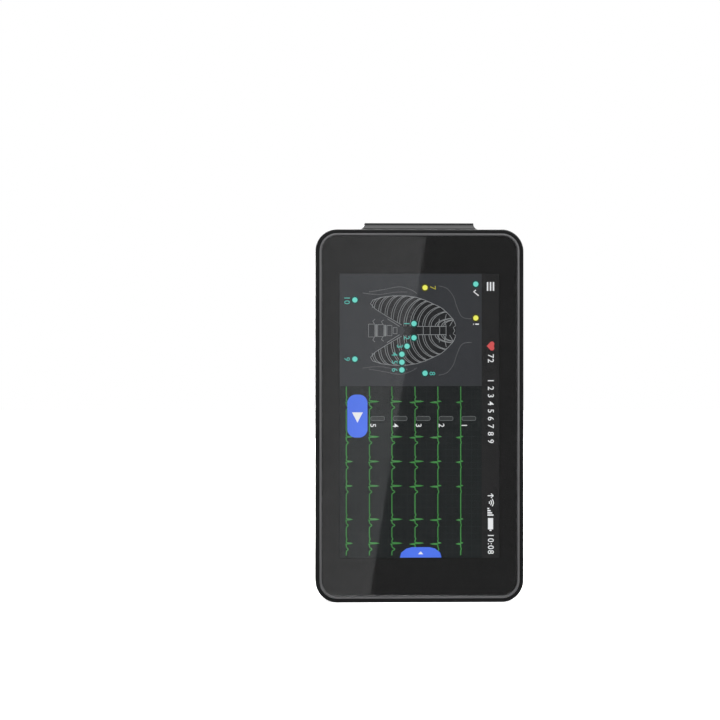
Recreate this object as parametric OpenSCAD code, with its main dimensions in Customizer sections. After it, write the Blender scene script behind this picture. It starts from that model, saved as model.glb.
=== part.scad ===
// Handheld ECG monitor: a flat black case with a tall screen, three keys on its right
// side, a patient-lead socket in its top end and a screwed-on back cover.
// X runs across the screen, Y from the glass to the back, Z up from the bottom end.
// Every piece is drawn by its depth behind the front glass, and placed() centres it on Y.

/* [Body] */
// Width over the side walls
body_w = 81; // [80:0.5:90]
// Height from the bottom end to the top end, without the socket housing
body_h = 145; // [144:0.5:156]
// Thickness from the front glass to the back
body_t = 17; // [17:0.25:20]
// Radius of the four corners, seen from the front
corner_r = 8.5; // [7:0.25:10]
// Thickness of the side walls
side_wall = 2; // [1.8:0.1:2.2]
// Thickness of the back wall
back_wall = 1.6; // [1.3:0.1:1.8]
// Width of the rounded rim outside the bezel ring
rim_w = 1.65; // [1.3:0.05:2]
// Depth over which the rim rounds off
rim_deep = 1.6; // [1.5:0.1:2.5]
// How far the long back edges round inwards
edge_in = 12; // [9:0.5:12]
// How far the back edges of the two ends round inwards
end_in = 6; // [4:0.5:6]
// Depth over which the back edges round off
edge_deep = 3; // [2.5:0.25:3.2]

/* [Screen] */
// Distance of the lit area from each side of the body
screen_side = 9.35; // [9:0.05:11]
// Distance of the lit area from each end of the body
screen_end = 17.15; // [16:0.05:19]
// Width of the bezel ring round the glass
ring_w = 0.9; // [0.6:0.05:1.1]
// Thickness of the front glass
glass_t = 1.1; // [0.9:0.05:1.2]
// Thickness of the clear bond and of the glass adhesive
bond_t = 0.25; // [0.15:0.05:0.3]
// Thickness of the display panel
panel_t = 1.6; // [1.4:0.05:1.7]
// Border of the display panel at its sides and bottom
panel_border = 2.1; // [1.5:0.1:2.3]
// Border of the display panel at its top, where its ribbon leaves
panel_head = 4.6; // [4:0.1:4.7]

/* [Back cover] */
// Distance of the cover's upper seam below the top end
seam_drop = 16.9; // [16.5:0.1:18]
// Corner radius of the upper seam
seam_r = 6.5; // [5:0.25:8]
// Depth of the seam on the side walls
seam_depth = 13.1; // [12.8:0.05:13.4]
// Width of the seam
seam_gap = 0.15; // [0.1:0.01:0.2]
// Half the distance between the left and right cover screws
screw_dx = 26.5; // [25.5:0.1:27]
// Height of the lower cover screws
screw_low = 21.4; // [20.5:0.1:22]
// Distance of the upper cover screws below the upper seam
screw_drop = 10.9; // [10.5:0.1:12]
// Diameter of the sunk holes for the screw heads
sink_d = 3.2; // [3.1:0.05:3.6]
// Half the width of the label recess
label_dx = 21.3; // [18:0.1:22]
// Lower edge of the label recess
label_low = 24.6; // [24:0.1:28]
// Height of the label recess
label_h = 29.1; // [25:0.1:32]
// Depth of the label recess
label_deep = 0.4; // [0.2:0.05:0.5]
// Number of columns of sound holes
grille_columns = 10; // [6:1:10]
// Number of rows of sound holes
grille_rows = 5; // [3:1:5]
// Distance between sound holes
grille_pitch = 2.04; // [1.8:0.02:2.1]
// Diameter of a sound hole
grille_d = 1.25; // [0.9:0.05:1.3]
// Height of the middle of the grille
grille_z = 10.4; // [10:0.1:12]

/* [Side keys] */
// Distance of the power and function keys from the middle of the volume key
key_spacing = 35.4; // [34.5:0.1:37]
// Depth of the middle of the keys
key_depth = 6.6; // [6.4:0.05:6.9]
// Width of a key, across the side wall
key_w = 2; // [1.8:0.05:2.2]
// Length of the power key
power_len = 13.5; // [11:0.25:14]
// Length of the volume key
volume_len = 31; // [29:0.25:32]
// Length of the function key
function_len = 14.1; // [11:0.25:14.5]
// Gap round a key in its slot
key_gap = 0.15; // [0.1:0.01:0.2]
// Depth of the finger scoops
scoop_deep = 0.9; // [0.7:0.05:1]
// Width of the finger scoops
scoop_w = 5.9; // [5.4:0.1:6]
// Travel of the power and function keys
key_travel = 0.3; // [0.2:0.01:0.35]
// Tilt of the volume key each way, in degrees
rock_deg = 1.5; // [1:0.1:1.6]
// Distance of the volume switches from the middle of the volume key
volume_arm = 11; // [10:0.25:12]

/* [Socket] */
// Height of the socket housing above the top end
ledge_h = 2.65; // [2.4:0.05:3]
// Width of the socket housing outside each jack screw's axis
ledge_side = 4.64; // [4.4:0.02:5.5]
// Depth of the housing's front face
ledge_front = 5.1; // [5:0.05:5.3]
// Width of the socket's metal shell
shell_w = 24.66; // [24.66:0.01:24.8]
// How much further apart the jack screws are than the shell is wide
jack_beyond = 8.66; // [8.66:0.01:8.8]
// Depth of the socket's metal shell, front to back
shell_h = 7.9; // [7.9:0.01:8]
// Distance between contacts along a row
contact_pitch = 2.77; // [2.7:0.01:2.77]
// Distance between the two rows of contacts
row_gap = 2.84; // [2.84:0.01:2.9]

/* [Inside] */
// Thickness of the web behind the display
web_t = 1.1; // [1:0.05:1.2]
// Width of the battery
battery_w = 58; // [48:0.5:59]
// Space between the battery and the main board
battery_clear = 3; // [3:0.25:10]
// Thickness of the battery
battery_t = 8; // [6:0.1:8.5]
// Height of the battery's lower edge
battery_low = 27; // [26.5:0.1:27.5]
// Height of the main board
main_h = 46; // [45.5:0.1:46.5]
// Thickness of the main board
main_t = 1; // [0.8:0.05:1.1]
// Width of the ECG board
ecg_w = 45; // [42:0.25:46]
// Thickness of the ECG board
ecg_t = 1.2; // [1:0.05:1.2]
// Width of the speaker
speaker_w = 24; // [22:0.25:26]
// Height of the speaker
speaker_h = 10; // [9:0.1:10.2]
// Thickness of the speaker
speaker_t = 3.8; // [3:0.1:3.9]
// Distance of the camera's middle below the top end
camera_drop = 9.6; // [9.4:0.05:9.8]
// Diameter of the camera ring
camera_ring_d = 10.6; // [10:0.1:11]
// Diameter of the camera window
camera_window_d = 6; // [5.6:0.1:6.4]

/* [Hidden] */
$fn = 48;

corner_steps = 8;
rim_steps = 4;
edge_steps = 7;
least_r = 2.5;
rim_land = 0.8;
touch = 0.05;
past = 1;

half_w = body_w / 2;
inner_x = half_w - side_wall;
back_in = body_t - back_wall;

screen_w = body_w - 2 * screen_side;
screen_h = body_h - 2 * screen_end;
pocket_floor = glass_t + bond_t;
web_front = pocket_floor + panel_t + 0.15;
web_back = web_front + web_t;
glass_in = rim_w + touch + ring_w + touch;
panel_x = screen_w / 2 + panel_border;
panel_low = screen_end - panel_border;
panel_top = body_h - screen_end + panel_head;
panel_gap = 0.3;
ribbon_x = 8;
ribbon_t = 0.15;
ribbon_slot_h = 3.2;

seam_z = body_h - seam_drop;
screw_high = seam_z - screw_drop;
screw_places = [for (x = [-screw_dx, screw_dx], z = [screw_low, screw_high]) [x, z]];
post_d = 5;
insert_d = 2.6;
insert_h = 3.5;
m16_d = 1.6;
m16_hole = 1.8;
head_d = 2.8;
head_h = 0.9;
head_seat = body_t - 2;
lip_t = 0.9;
lip_h = 1.5;
lip_gap = 0.15;

jack_spacing = shell_w + jack_beyond;
ledge_w = jack_spacing + 2 * ledge_side;
ledge_top = body_h + ledge_h;
ledge_wall = 0.75;
plug_clear_w = 1.9;
plug_clear_h = 1.6;
socket_depth = ledge_front + ledge_wall + (shell_h + plug_clear_h) / 2;
mouth_z = ledge_top - 0.35;
shell_rise = 5.9;
shell_t = 0.4;
flange_t = 0.8;
flange_z = mouth_z - shell_rise;
flange_w = jack_spacing + 5.78;
flange_h = 8.4;
panel_block_z = flange_z + flange_t;
jack_seat = panel_block_z + 1.5;
jack_af = 4.75;
jack_bore_d = 2.3;
jack_shank_d = 2.8;
jack_well_d = 6.2;
nut_h = 1.6;
insert_drop = 2.1;
insert_rear_z = flange_z - insert_drop;
contact_d = 1.5;

main_depth = web_back + 1.2;
main_back = main_depth + main_t;
main_top = body_h - 15;
main_low = main_top - main_h;
main_left = -inner_x + 4.5;
ecg_depth = socket_depth - ecg_t / 2;
ecg_back = ecg_depth + ecg_t;
ecg_top = insert_rear_z - 0.9;
ecg_low = main_low + 16;
post_top = ecg_depth;
spacer_x = 19.5;
spacer_d = 3.6;
spacer_places = [for (x = [-spacer_x, spacer_x], z = [ecg_low + 3.5, main_top - 2.5]) [x, z]];
board_boss_d = 4.4;
header_w = 22;
header_h = 4.5;
header_z = ecg_low + 10;

scoop_r = (pow(scoop_w / 2, 2) + pow(scoop_deep, 2)) / (2 * scoop_deep);
scoop_over = 3;
key_mid = body_h / 2;
power_z = key_mid + key_spacing;
function_z = key_mid - key_spacing;
key_face = half_w - 0.15;
key_edge_r = 0.35;
flange_out = inner_x - touch;
flange_in = inner_x - 0.8;
plunger_face = inner_x - 1.3;
plunger_in = plunger_face - 1.1;
plunger_d = 1.6;
switch_face = inner_x - 1.9;
board_face = inner_x - 3;
side_board_t = 0.6;
rib_face = board_face - side_board_t;
rib_t = 1.1;
side_board_back = key_depth + 3;
spine_out = inner_x - 0.55;
spine_over = 1.5;
pivot_x = plunger_face - 0.45;
pivot_r = 0.7;
cradle_r = pivot_r + 0.05;
cradle_half = 2;
switch_heights = [power_z, key_mid + volume_arm, key_mid - volume_arm, function_z];
rib_half = 1.5;
main_right = rib_face - rib_t - 0.5;

battery_depth = web_back + 0.2;
battery_h = main_low - battery_clear - battery_low;
usb_depth = web_back + 0.8;
usb_board_t = 0.8;
usb_back = usb_depth + usb_board_t;
usb_w = 8.94;
usb_h = 3.26;
usb_len = 7.35;
usb_mouth = 0.6;
usb_mid = usb_back + usb_h / 2;
usb_board_x = 15;
usb_board_low = side_wall + 0.6;
usb_board_top = usb_board_low + 15.4;
usb_screw_x = 11.5;
usb_screw_z = usb_board_low + 11.4;
mic_x = -9.5;
mic_depth = usb_back + 0.5;

mesh_t = 0.2;
gasket_t = 0.4;
speaker_back = back_in - mesh_t - gasket_t;
cradle_wall = 0.8;
camera_z = body_h - camera_drop;
camera_bore_d = camera_window_d - 0.8;
camera_seat = body_t - 0.7;

// ---- shared forms ----

module placed() {
    translate([0, -body_t / 2, 0]) children();
}

// An outline drawn in X and Z becomes a plate between two depths.
module plate(d0, d1) {
    translate([0, d1, 0]) rotate([90, 0, 0]) linear_extrude(d1 - d0) children();
}

// An outline drawn in depth and Z becomes a bar between two places on X.
module bar(x0, x1) {
    translate([x0, 0, 0]) rotate([90, 0, 90]) linear_extrude(x1 - x0) children();
}

// A block between two corners, each [x, depth, z].
module block(low, high) {
    translate(low) cube(high - low);
}

// A round rod along the depth.
module rod(place, d, d0, d1) {
    translate([place[0], d1, place[1]]) rotate([90, 0, 0]) cylinder(h = d1 - d0, d = d);
}

module round_rect(low, high, r) {
    size = high - low;
    translate(low + [r, 0]) square(size - [2 * r, 0]);
    translate(low + [0, r]) square(size - [0, 2 * r]);
    for (x = [low[0] + r, high[0] - r], z = [low[1] + r, high[1] - r]) {
        translate([x, z]) circle(r);
    }
}

// The case's outline, drawn in by one distance all round.
module outline(inset) {
    round_rect([-half_w + inset, inset], [half_w - inset, body_h - inset], corner_r - inset);
}

// A slot outline with round ends, longer along its second axis.
module slot_tall(centre, w, len) {
    translate(centre - [w / 2, (len - w) / 2]) square([w, len - w]);
    for (s = [-1, 1]) translate(centre + [0, s * (len - w) / 2]) circle(d = w);
}

// The same slot, longer along its first axis.
module slot_wide(centre, len, h) {
    translate(centre - [(len - h) / 2, h / 2]) square([len - h, h]);
    for (s = [-1, 1]) translate(centre + [s * (len - h) / 2, 0]) circle(d = h);
}

// Points of the case's outline at one depth, going round from its right-hand side.
function ring(depth, side_in, end_in) = let (
    r = max(corner_r - min(side_in, end_in), least_r),
    x = half_w - side_in - r,
    z = body_h / 2 - end_in - r
) [
    for (corner = [0:3], step = [0:corner_steps]) let (
        turn = 90 * (corner + step / corner_steps),
        sx = corner == 0 || corner == 3 ? 1 : -1,
        sz = corner < 2 ? 1 : -1
    ) [sx * x + r * cos(turn), depth, body_h / 2 + sz * z + r * sin(turn)]
];

// A closed solid through a stack of rings.
module loft(rings) {
    n = len(rings[0]);
    last = len(rings) - 1;
    walls = [
        for (i = [0:last - 1], j = [0:n - 1]) let (
            a = i * n + j,
            b = i * n + (j + 1) % n
        ) each [[a, b, b + n], [a, b + n, a + n]]
    ];
    front = [for (j = [n - 1:-1:0]) j];
    back = [for (j = [0:n - 1]) last * n + j];
    polyhedron([for (r = rings) each r], concat([front], walls, [back]));
}

// The outside of the closed case: rounded rim, straight sides, rounded back edges.
module outer_form() {
    rim = [
        for (i = [0:rim_steps]) let (turn = 90 * i / rim_steps, inset = (rim_w - rim_land) * (1 - sin(turn)))
        ring(rim_deep * (1 - cos(turn)), inset, inset)
    ];
    edge = [
        for (i = [0:edge_steps]) let (turn = 90 * i / edge_steps)
        ring(body_t - edge_deep * (1 - sin(turn)), edge_in * (1 - cos(turn)), end_in * (1 - cos(turn)))
    ];
    loft(concat(rim, edge));
}

// The hollow behind the web, which follows the back edges one wall inside them.
module inner_form() {
    rise = edge_deep - back_wall;
    edge = [
        for (i = [0:edge_steps]) let (turn = 90 * i / edge_steps, share = 1 - cos(turn))
        ring(
            back_in - rise * (1 - sin(turn)),
            side_wall + (edge_in - side_wall) * share,
            side_wall + (end_in - side_wall) * share
        )
    ];
    loft(concat([ring(web_back, side_wall, side_wall)], edge));
}

// The back cover's outline, grown all round by one distance.
module cover_outline(grow) {
    low = -past - 10;
    round_rect([-half_w - grow, low], [half_w + grow, seam_z + grow], seam_r + grow);
    translate([-body_w, low]) square([2 * body_w, seam_z - seam_r - low]);
}

// The outline of the socket, wider at its back, with rounded corners.
module socket_outline(w, h, r) {
    lean = 10;
    slope = tan(lean);
    steps = 4;
    corners = [
        [w / 2, h / 2, 0, 90 + lean],
        [-w / 2, h / 2, 90 - lean, 180],
        [-w / 2 + slope * h, -h / 2, 180, 270],
        [w / 2 - slope * h, -h / 2, 270, 360]
    ];
    points = [
        for (c = corners, i = [0:steps]) let (
            turn = c[2] + (c[3] - c[2]) * i / steps,
            side = c[0] > 0 ? 1 : -1,
            up = c[1] > 0 ? 1 : -1
        ) [c[0] - side * r * (1 + slope * up) + r * cos(turn), c[1] - up * r + r * sin(turn)]
    ];
    polygon(points);
}

module at_socket(z) {
    translate([0, socket_depth, z]) children();
}

module at_jacks(z) {
    for (s = [-1, 1]) translate([s * jack_spacing / 2, socket_depth, z]) children();
}

// ---- front housing ----

// The raised housing of the socket, with a flared front and ends and a rear edge that overhangs.
module socket_housing() {
    foot = body_h - 0.8;
    flare = ledge_h;
    under_r = 1.5;
    sink = 0.12;
    front = ledge_front - flare;
    top_x = ledge_w / 2;
    intersection() {
        plate(front, body_t) difference() {
            translate([-top_x - flare, foot]) square([2 * (top_x + flare), ledge_top - foot]);
            for (s = [-1, 1]) {
                translate([s * (top_x + flare), body_h + flare - sink]) circle(flare);
                translate([s * (top_x + flare) - flare / 2 * (1 - s), body_h + flare - sink])
                    square([flare / 2, flare]);
            }
        }
        bar(-half_w, half_w) difference() {
            translate([front, foot]) square([body_t - front, ledge_top - foot]);
            translate([front, body_h + flare - sink]) circle(flare);
            translate([front - flare, body_h + flare - sink]) square([2 * flare, flare]);
            translate([body_t + 0.5, foot]) circle(under_r);
        }
    }
}

// The solid block under the housing that the socket's flange is drawn up against.
module socket_block() {
    block([-ledge_w / 2, ledge_front, panel_block_z], [ledge_w / 2, back_in + 0.1, body_h - 1.1]);
}

module finger_scoop(z, len) {
    reach = len / 2 + scoop_over - scoop_w / 2;
    translate([half_w - scoop_deep + scoop_r, key_depth, z]) {
        translate([0, 0, -reach]) cylinder(h = 2 * reach, r = scoop_r);
        for (s = [-1, 1]) translate([0, 0, s * reach]) sphere(scoop_r);
    }
}

module key_slot(z, len) {
    bar(inner_x - past, half_w + past) slot_tall([key_depth, z], key_w + 2 * key_gap, len + 2 * key_gap);
}

// The web's ribs that stand behind the side board, and the cradle that the volume key rocks in.
module side_ribs() {
    for (z = switch_heights) {
        block([rib_face - rib_t, web_back - touch, z - rib_half], [rib_face, side_board_back, z + rib_half]);
    }
    difference() {
        block(
            [rib_face - rib_t, web_back - touch, key_mid - cradle_half],
            [pivot_x + 0.15, key_depth + 2, key_mid + cradle_half]
        );
        translate([pivot_x, key_depth - 1.6, key_mid]) rotate([-90, 0, 0]) cylinder(h = 5, r = cradle_r);
    }
}

module frame_posts() {
    for (place = screw_places) rod(place, post_d, web_back - touch, post_top);
    for (place = spacer_places) rod(place, board_boss_d, web_back - touch, main_depth);
    for (s = [-1, 1]) rod([s * usb_screw_x, usb_screw_z], board_boss_d, web_back - touch, usb_depth);
}

module frame_bores() {
    for (place = screw_places) rod(place, insert_d + touch, post_top - insert_h - 0.1, post_top + past);
    for (place = screw_places) rod(place, m16_hole, post_top - insert_h - 1.6, post_top);
    for (place = spacer_places) rod(place, m16_hole, web_front + 0.5, main_depth + past);
    for (s = [-1, 1]) rod([s * usb_screw_x, usb_screw_z], m16_hole, web_front + 0.5, usb_depth + past);
}

module front_pockets() {
    plate(-past, pocket_floor) outline(rim_w);
    plate(pocket_floor - past, web_front)
        translate([-panel_x - panel_gap, panel_low - panel_gap])
        square([2 * (panel_x + panel_gap), panel_top - panel_low + 2 * panel_gap]);
    block(
        [-ribbon_x - 2, pocket_floor - past, panel_top - past],
        [ribbon_x + 2, web_back + past, panel_top + ribbon_slot_h]
    );
}

module socket_openings() {
    at_socket(panel_block_z - past) linear_extrude(ledge_top - panel_block_z + 2 * past)
        socket_outline(shell_w + plug_clear_w, shell_h + plug_clear_h, 2.6);
    at_jacks(jack_seat) cylinder(h = ledge_top - jack_seat + past, d = jack_well_d);
    at_jacks(panel_block_z - past) cylinder(h = ledge_top - panel_block_z, d = jack_shank_d + 0.4);
}

module camera_opening() {
    rod([0, camera_z], camera_bore_d, back_in - past, body_t);
    rod([0, camera_z], camera_ring_d + 0.1, camera_seat, body_t + past);
}

module bottom_openings() {
    translate([0, 0, -past]) linear_extrude(side_wall + 2 * past)
        slot_wide([0, usb_mid], usb_w + 0.5, usb_h + 0.5);
    translate([mic_x, mic_depth, -past]) cylinder(h = side_wall + 2 * past, d = 1);
}

module housing_frame() {
    color("#1d1e20") placed() difference() {
        union() {
            difference() {
                outer_form();
                inner_form();
                plate(seam_depth - seam_gap / 2, body_t + past) cover_outline(seam_gap / 2);
            }
            socket_housing();
            socket_block();
            frame_posts();
            side_ribs();
        }
        front_pockets();
        frame_bores();
        socket_openings();
        camera_opening();
        bottom_openings();
        for (key = [[power_z, power_len], [key_mid, volume_len], [function_z, function_len]]) {
            finger_scoop(key[0], key[1]);
            key_slot(key[0], key[1]);
        }
    }
}

// ---- front: ring, glass and display ----

module bezel_ring() {
    color("#6d6f72") placed() plate(0, pocket_floor) difference() {
        outline(rim_w + touch);
        outline(rim_w + touch + ring_w);
    }
}

module front_glass() {
    color("#2b2c2e") placed() plate(0, glass_t) outline(glass_in);
}

module glass_adhesive() {
    color("#111214") placed() plate(glass_t, pocket_floor) difference() {
        outline(glass_in + 0.3);
        translate([-panel_x - panel_gap, panel_low - panel_gap])
            square([2 * (panel_x + panel_gap), panel_top - panel_low + 2 * panel_gap]);
    }
}

module optical_bond() {
    color("#d8e0e4") placed() plate(glass_t, pocket_floor)
        translate([-panel_x, panel_low]) square([2 * panel_x, panel_top - panel_low]);
}

module display_panel() {
    color("#0d1518") placed() plate(pocket_floor, pocket_floor + panel_t)
        round_rect([-panel_x, panel_low], [panel_x, panel_top], 0.8);
}

// The panel's ribbon leaves its top edge, turns through the web and meets the main board.
module display_ribbon() {
    start = pocket_floor + panel_t / 2;
    turn_z = panel_top + 2;
    lie = main_depth - 0.75;
    color("#b5652a") placed() bar(-ribbon_x, ribbon_x) {
        translate([start, panel_top]) square([ribbon_t, turn_z - panel_top]);
        translate([start, turn_z - ribbon_t]) square([lie + ribbon_t - start, ribbon_t]);
        translate([lie, main_top - 4]) square([ribbon_t, turn_z - main_top + 4]);
        translate([lie + ribbon_t / 2, main_top - 4]) square([main_depth - lie - ribbon_t / 2, 2.5]);
    }
}

// ---- boards ----

module main_board() {
    color("#12503a") placed() difference() {
        block([main_left, main_depth, main_low], [main_right, main_back, main_top]);
        for (place = spacer_places) rod(place, m16_hole, main_depth - past, main_back + past);
        for (place = screw_places) rod(place, post_d + 0.8, main_depth - past, main_back + past);
    }
}

// A metal can without a floor, on a board's back face.
module can(low, high, depth, h) {
    wall = 0.2;
    difference() {
        block([low[0], depth, low[1]], [high[0], depth + h, high[1]]);
        block(
            [low[0] + wall, depth - past, low[1] + wall],
            [high[0] - wall, depth + h - wall, high[1] - wall]
        );
    }
}

module board_shields() {
    low = main_low + 2.2;
    middle = header_w / 2 + 2;
    side = middle + 2.5;
    side_top = ecg_low + 0.2;
    can_h = 1.8;
    color("#a9abad") placed() {
        can([-middle, low], [middle, side_top + 3.5], main_back, can_h);
        can([main_left + 2.5, low], [-side, side_top], main_back, can_h);
        can([side, low], [main_right - 2.3, side_top], main_back, can_h);
    }
}

// Two mating halves of the connector between the boards.
module board_header() {
    split = (main_back + ecg_depth) / 2;
    half = header_w / 2;
    color("#1c1c1c") placed() {
        block([-half, main_back, header_z], [half, split, header_z + header_h]);
        block([-half + 1, split, header_z + 0.6], [half - 1, ecg_depth, header_z + header_h - 0.6]);
    }
}

module ecg_board() {
    color("#174a7a") placed() difference() {
        block([-ecg_w / 2, ecg_depth, ecg_low], [ecg_w / 2, ecg_back, ecg_top]);
        for (place = spacer_places) rod(place, m16_hole, ecg_depth - past, ecg_back + past);
    }
}

module ecg_shield() {
    half = spacer_x - 3.5;
    color("#b4b6b8") placed() can([-half, ecg_low + 2], [half, ecg_top - 7.5], ecg_back, 2);
}

module board_spacers() {
    color("#c9a24a") placed() for (place = spacer_places) difference() {
        rod(place, spacer_d, main_back, ecg_depth);
        rod(place, m16_hole, main_back - past, ecg_depth + past);
    }
}

// A screw along the depth, with its head behind the seat and a cross recess.
module screw(place, seat, tip) {
    slot_w = 0.45;
    slot_len = 1.5;
    difference() {
        union() {
            rod(place, head_d, seat, seat + head_h);
            rod(place, m16_d, tip, seat + touch);
        }
        for (size = [[slot_len, slot_w], [slot_w, slot_len]]) {
            block(
                [place[0] - size[0] / 2, seat + head_h / 2, place[1] - size[1] / 2],
                [place[0] + size[0] / 2, seat + head_h + past, place[1] + size[1] / 2]
            );
        }
    }
}

module board_screws() {
    color("#8f9194") placed() for (place = spacer_places) screw(place, ecg_back, web_front + 0.7);
}

// ---- patient-lead socket ----

module socket_shell() {
    color("#b9bbbd") placed() difference() {
        union() {
            at_socket(flange_z) linear_extrude(shell_rise) socket_outline(shell_w, shell_h, 2.2);
            at_socket(flange_z) linear_extrude(flange_t)
                translate([-flange_w / 2, -flange_h / 2]) square([flange_w, flange_h]);
        }
        at_socket(flange_z - past) linear_extrude(shell_rise + 2 * past)
            socket_outline(shell_w - 2 * shell_t, shell_h - 2 * shell_t, 1.8);
        at_jacks(flange_z - past) cylinder(h = flange_t + 2 * past, d = jack_shank_d + 0.3);
    }
}

// Places of the fifteen contacts: eight in the wide row and seven in the narrow one.
function contact_places() = [
    for (row = [0, 1], i = [0:7 - row])
        [(i - (7 - row) / 2) * contact_pitch, (row == 0 ? 1 : -1) * row_gap / 2]
];

module socket_insert() {
    top = mouth_z - 0.4;
    color("#1f4e9c") placed() difference() {
        union() {
            at_socket(insert_rear_z) linear_extrude(insert_drop)
                translate([-shell_w / 2 - 0.8, -flange_h / 2]) square([shell_w + 1.6, flange_h]);
            at_socket(flange_z - touch) linear_extrude(top - flange_z + touch)
                socket_outline(shell_w - 2 * shell_t - 0.1, shell_h - 2 * shell_t - 0.1, 1.75);
        }
        for (p = contact_places()) at_socket(insert_rear_z - past) translate(p)
            cylinder(h = shell_rise + insert_drop + 2 * past, d = contact_d + 0.1);
    }
}

module socket_contacts() {
    bore_deep = 5;
    top = mouth_z - 0.7;
    tail_w = 0.8;
    tail_t = 0.3;
    tail_len = 3.6;
    color("#d4a73c") placed() for (p = contact_places()) {
        side = p[1] > 0 ? 1 : -1;
        tail_face = side * (ecg_t / 2 + tail_t / 2);
        difference() {
            at_socket(insert_rear_z - 0.3) translate(p)
                cylinder(h = top - insert_rear_z + 0.3, d = contact_d);
            at_socket(top - bore_deep) translate(p) cylinder(h = bore_deep + past, d = 1.02);
        }
        at_socket(insert_rear_z - tail_len)
            translate([p[0] - tail_w / 2, tail_face - tail_t / 2, 0]) cube([tail_w, tail_t, tail_len - 0.1]);
        at_socket(insert_rear_z - 0.3)
            translate([p[0] - tail_w / 2, min(tail_face - tail_t / 2, p[1]), 0])
            cube([tail_w, abs(p[1] - tail_face) + tail_t / 2, 0.2]);
    }
}

module jack_screws() {
    color("#bfc1c3") placed() difference() {
        union() {
            at_jacks(jack_seat) cylinder(h = mouth_z - jack_seat - 0.2, d = jack_af / cos(30), $fn = 6);
            at_jacks(flange_z - nut_h - 0.4)
                cylinder(h = jack_seat - flange_z + nut_h + 0.4 + touch, d = jack_shank_d);
        }
        at_jacks(mouth_z - 4.2) cylinder(h = 5, d = jack_bore_d);
    }
}

module socket_nuts() {
    color("#a8aaac") placed() difference() {
        at_jacks(flange_z - nut_h) cylinder(h = nut_h, d = jack_af / cos(30), $fn = 6);
        at_jacks(flange_z - nut_h - past) cylinder(h = nut_h + 2 * past, d = jack_shank_d + 0.06);
    }
}

// ---- battery and ribbons ----

module battery() {
    color("#3a3d42") placed() plate(battery_depth, battery_depth + battery_t)
        round_rect([-battery_w / 2, battery_low], [battery_w / 2, battery_low + battery_h], 1.5);
}

module battery_tape() {
    color("#e8e6da") placed() for (s = [-1, 1]) {
        x = s * battery_w / 4;
        block([x - 5, web_back, battery_low + 4], [x + 5, battery_depth, battery_low + battery_h - 4]);
    }
}

// The cell's tab ribbon, which lies on the main board's back face.
module battery_lead() {
    lead_w = 8;
    left = battery_w / 2 - 2 - lead_w;
    color("#8a1f1f") placed() block(
        [left, main_back, battery_low + battery_h],
        [left + lead_w, main_back + 0.4, main_low + 1.8]
    );
}

// The ribbon from the charging board up the left side to the main board.
module link_ribbon() {
    left = -inner_x + 2;
    right = left + 4;
    ribbon_z = usb_board_low + 5;
    color("#b5652a") placed() {
        block([left, web_back, ribbon_z], [right, web_back + ribbon_t, main_low + 6]);
        block([left, web_back, ribbon_z], [-10, web_back + ribbon_t, ribbon_z + 4]);
        block([-13.5, web_back + ribbon_t / 2, ribbon_z], [-10, usb_depth, ribbon_z + 4]);
        block([left, web_back, main_low + 2], [main_left + 4, web_back + ribbon_t, main_low + 6]);
        block(
            [main_left + 0.5, web_back + ribbon_t / 2, main_low + 2],
            [main_left + 4, main_depth, main_low + 6]
        );
    }
}

// ---- charging board ----

module usb_board() {
    color("#12503a") placed() difference() {
        block([-usb_board_x, usb_depth, usb_board_low], [usb_board_x, usb_back, usb_board_top]);
        for (s = [-1, 1]) rod([s * usb_screw_x, usb_screw_z], m16_hole, usb_depth - past, usb_back + past);
    }
}

module usb_shell() {
    wall = 0.3;
    color("#b9bbbd") placed() difference() {
        translate([0, 0, usb_mouth]) linear_extrude(usb_len) slot_wide([0, usb_mid], usb_w, usb_h);
        translate([0, 0, usb_mouth - past]) linear_extrude(usb_len + past - 0.8)
            slot_wide([0, usb_mid], usb_w - 2 * wall, usb_h - 2 * wall);
    }
}

module usb_tongue() {
    color("#1c1c1c") placed()
        block([-3.35, usb_mid - 0.35, usb_mouth + 0.8], [3.35, usb_mid + 0.35, usb_mouth + usb_len - 0.8]);
}

module usb_board_screws() {
    color("#8f9194") placed() for (s = [-1, 1])
        screw([s * usb_screw_x, usb_screw_z], usb_back, web_front + 0.7);
}

module microphone() {
    color("#c8b070") placed() difference() {
        block(
            [mic_x - 1.75, usb_back, usb_board_low + 0.1],
            [mic_x + 1.75, usb_back + 1, usb_board_low + 2.7]
        );
        translate([mic_x, mic_depth, usb_board_low - past]) cylinder(h = past + 1, d = 0.5);
    }
}

// ---- speaker ----

module speaker_outline(grow) {
    round_rect(
        [-speaker_w / 2 - grow, grille_z - speaker_h / 2 - grow],
        [speaker_w / 2 + grow, grille_z + speaker_h / 2 + grow],
        1.5 + grow
    );
}

module speaker() {
    color("#26282b") placed() difference() {
        plate(speaker_back - speaker_t, speaker_back) speaker_outline(0);
        plate(speaker_back - 0.8, speaker_back + past)
            slot_wide([0, grille_z], speaker_w - 4, speaker_h - 3);
    }
}

module speaker_gasket() {
    color("#3b3b3d") placed() plate(speaker_back, speaker_back + gasket_t) difference() {
        speaker_outline(0);
        slot_wide([0, grille_z], speaker_w - 3, speaker_h - 2);
    }
}

module grille_mesh() {
    color("#17181a") placed() plate(back_in - mesh_t, back_in) speaker_outline(-0.3);
}

// ---- camera ----

module camera_module() {
    front = ecg_back + 0.75;
    high = min(camera_z + 2.8, insert_rear_z - 0.15);
    color("#202124") placed() difference() {
        union() {
            block([-4.2, front, 2 * camera_z - high], [4.2, back_in - touch, high]);
            rod([0, camera_z], camera_bore_d - 0.2, back_in - past, camera_seat - 0.1);
        }
        translate([0, camera_seat - 0.9, camera_z]) rotate([-90, 0, 0]) cylinder(h = 2, d1 = 1.6, d2 = 6.4);
    }
}

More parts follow.
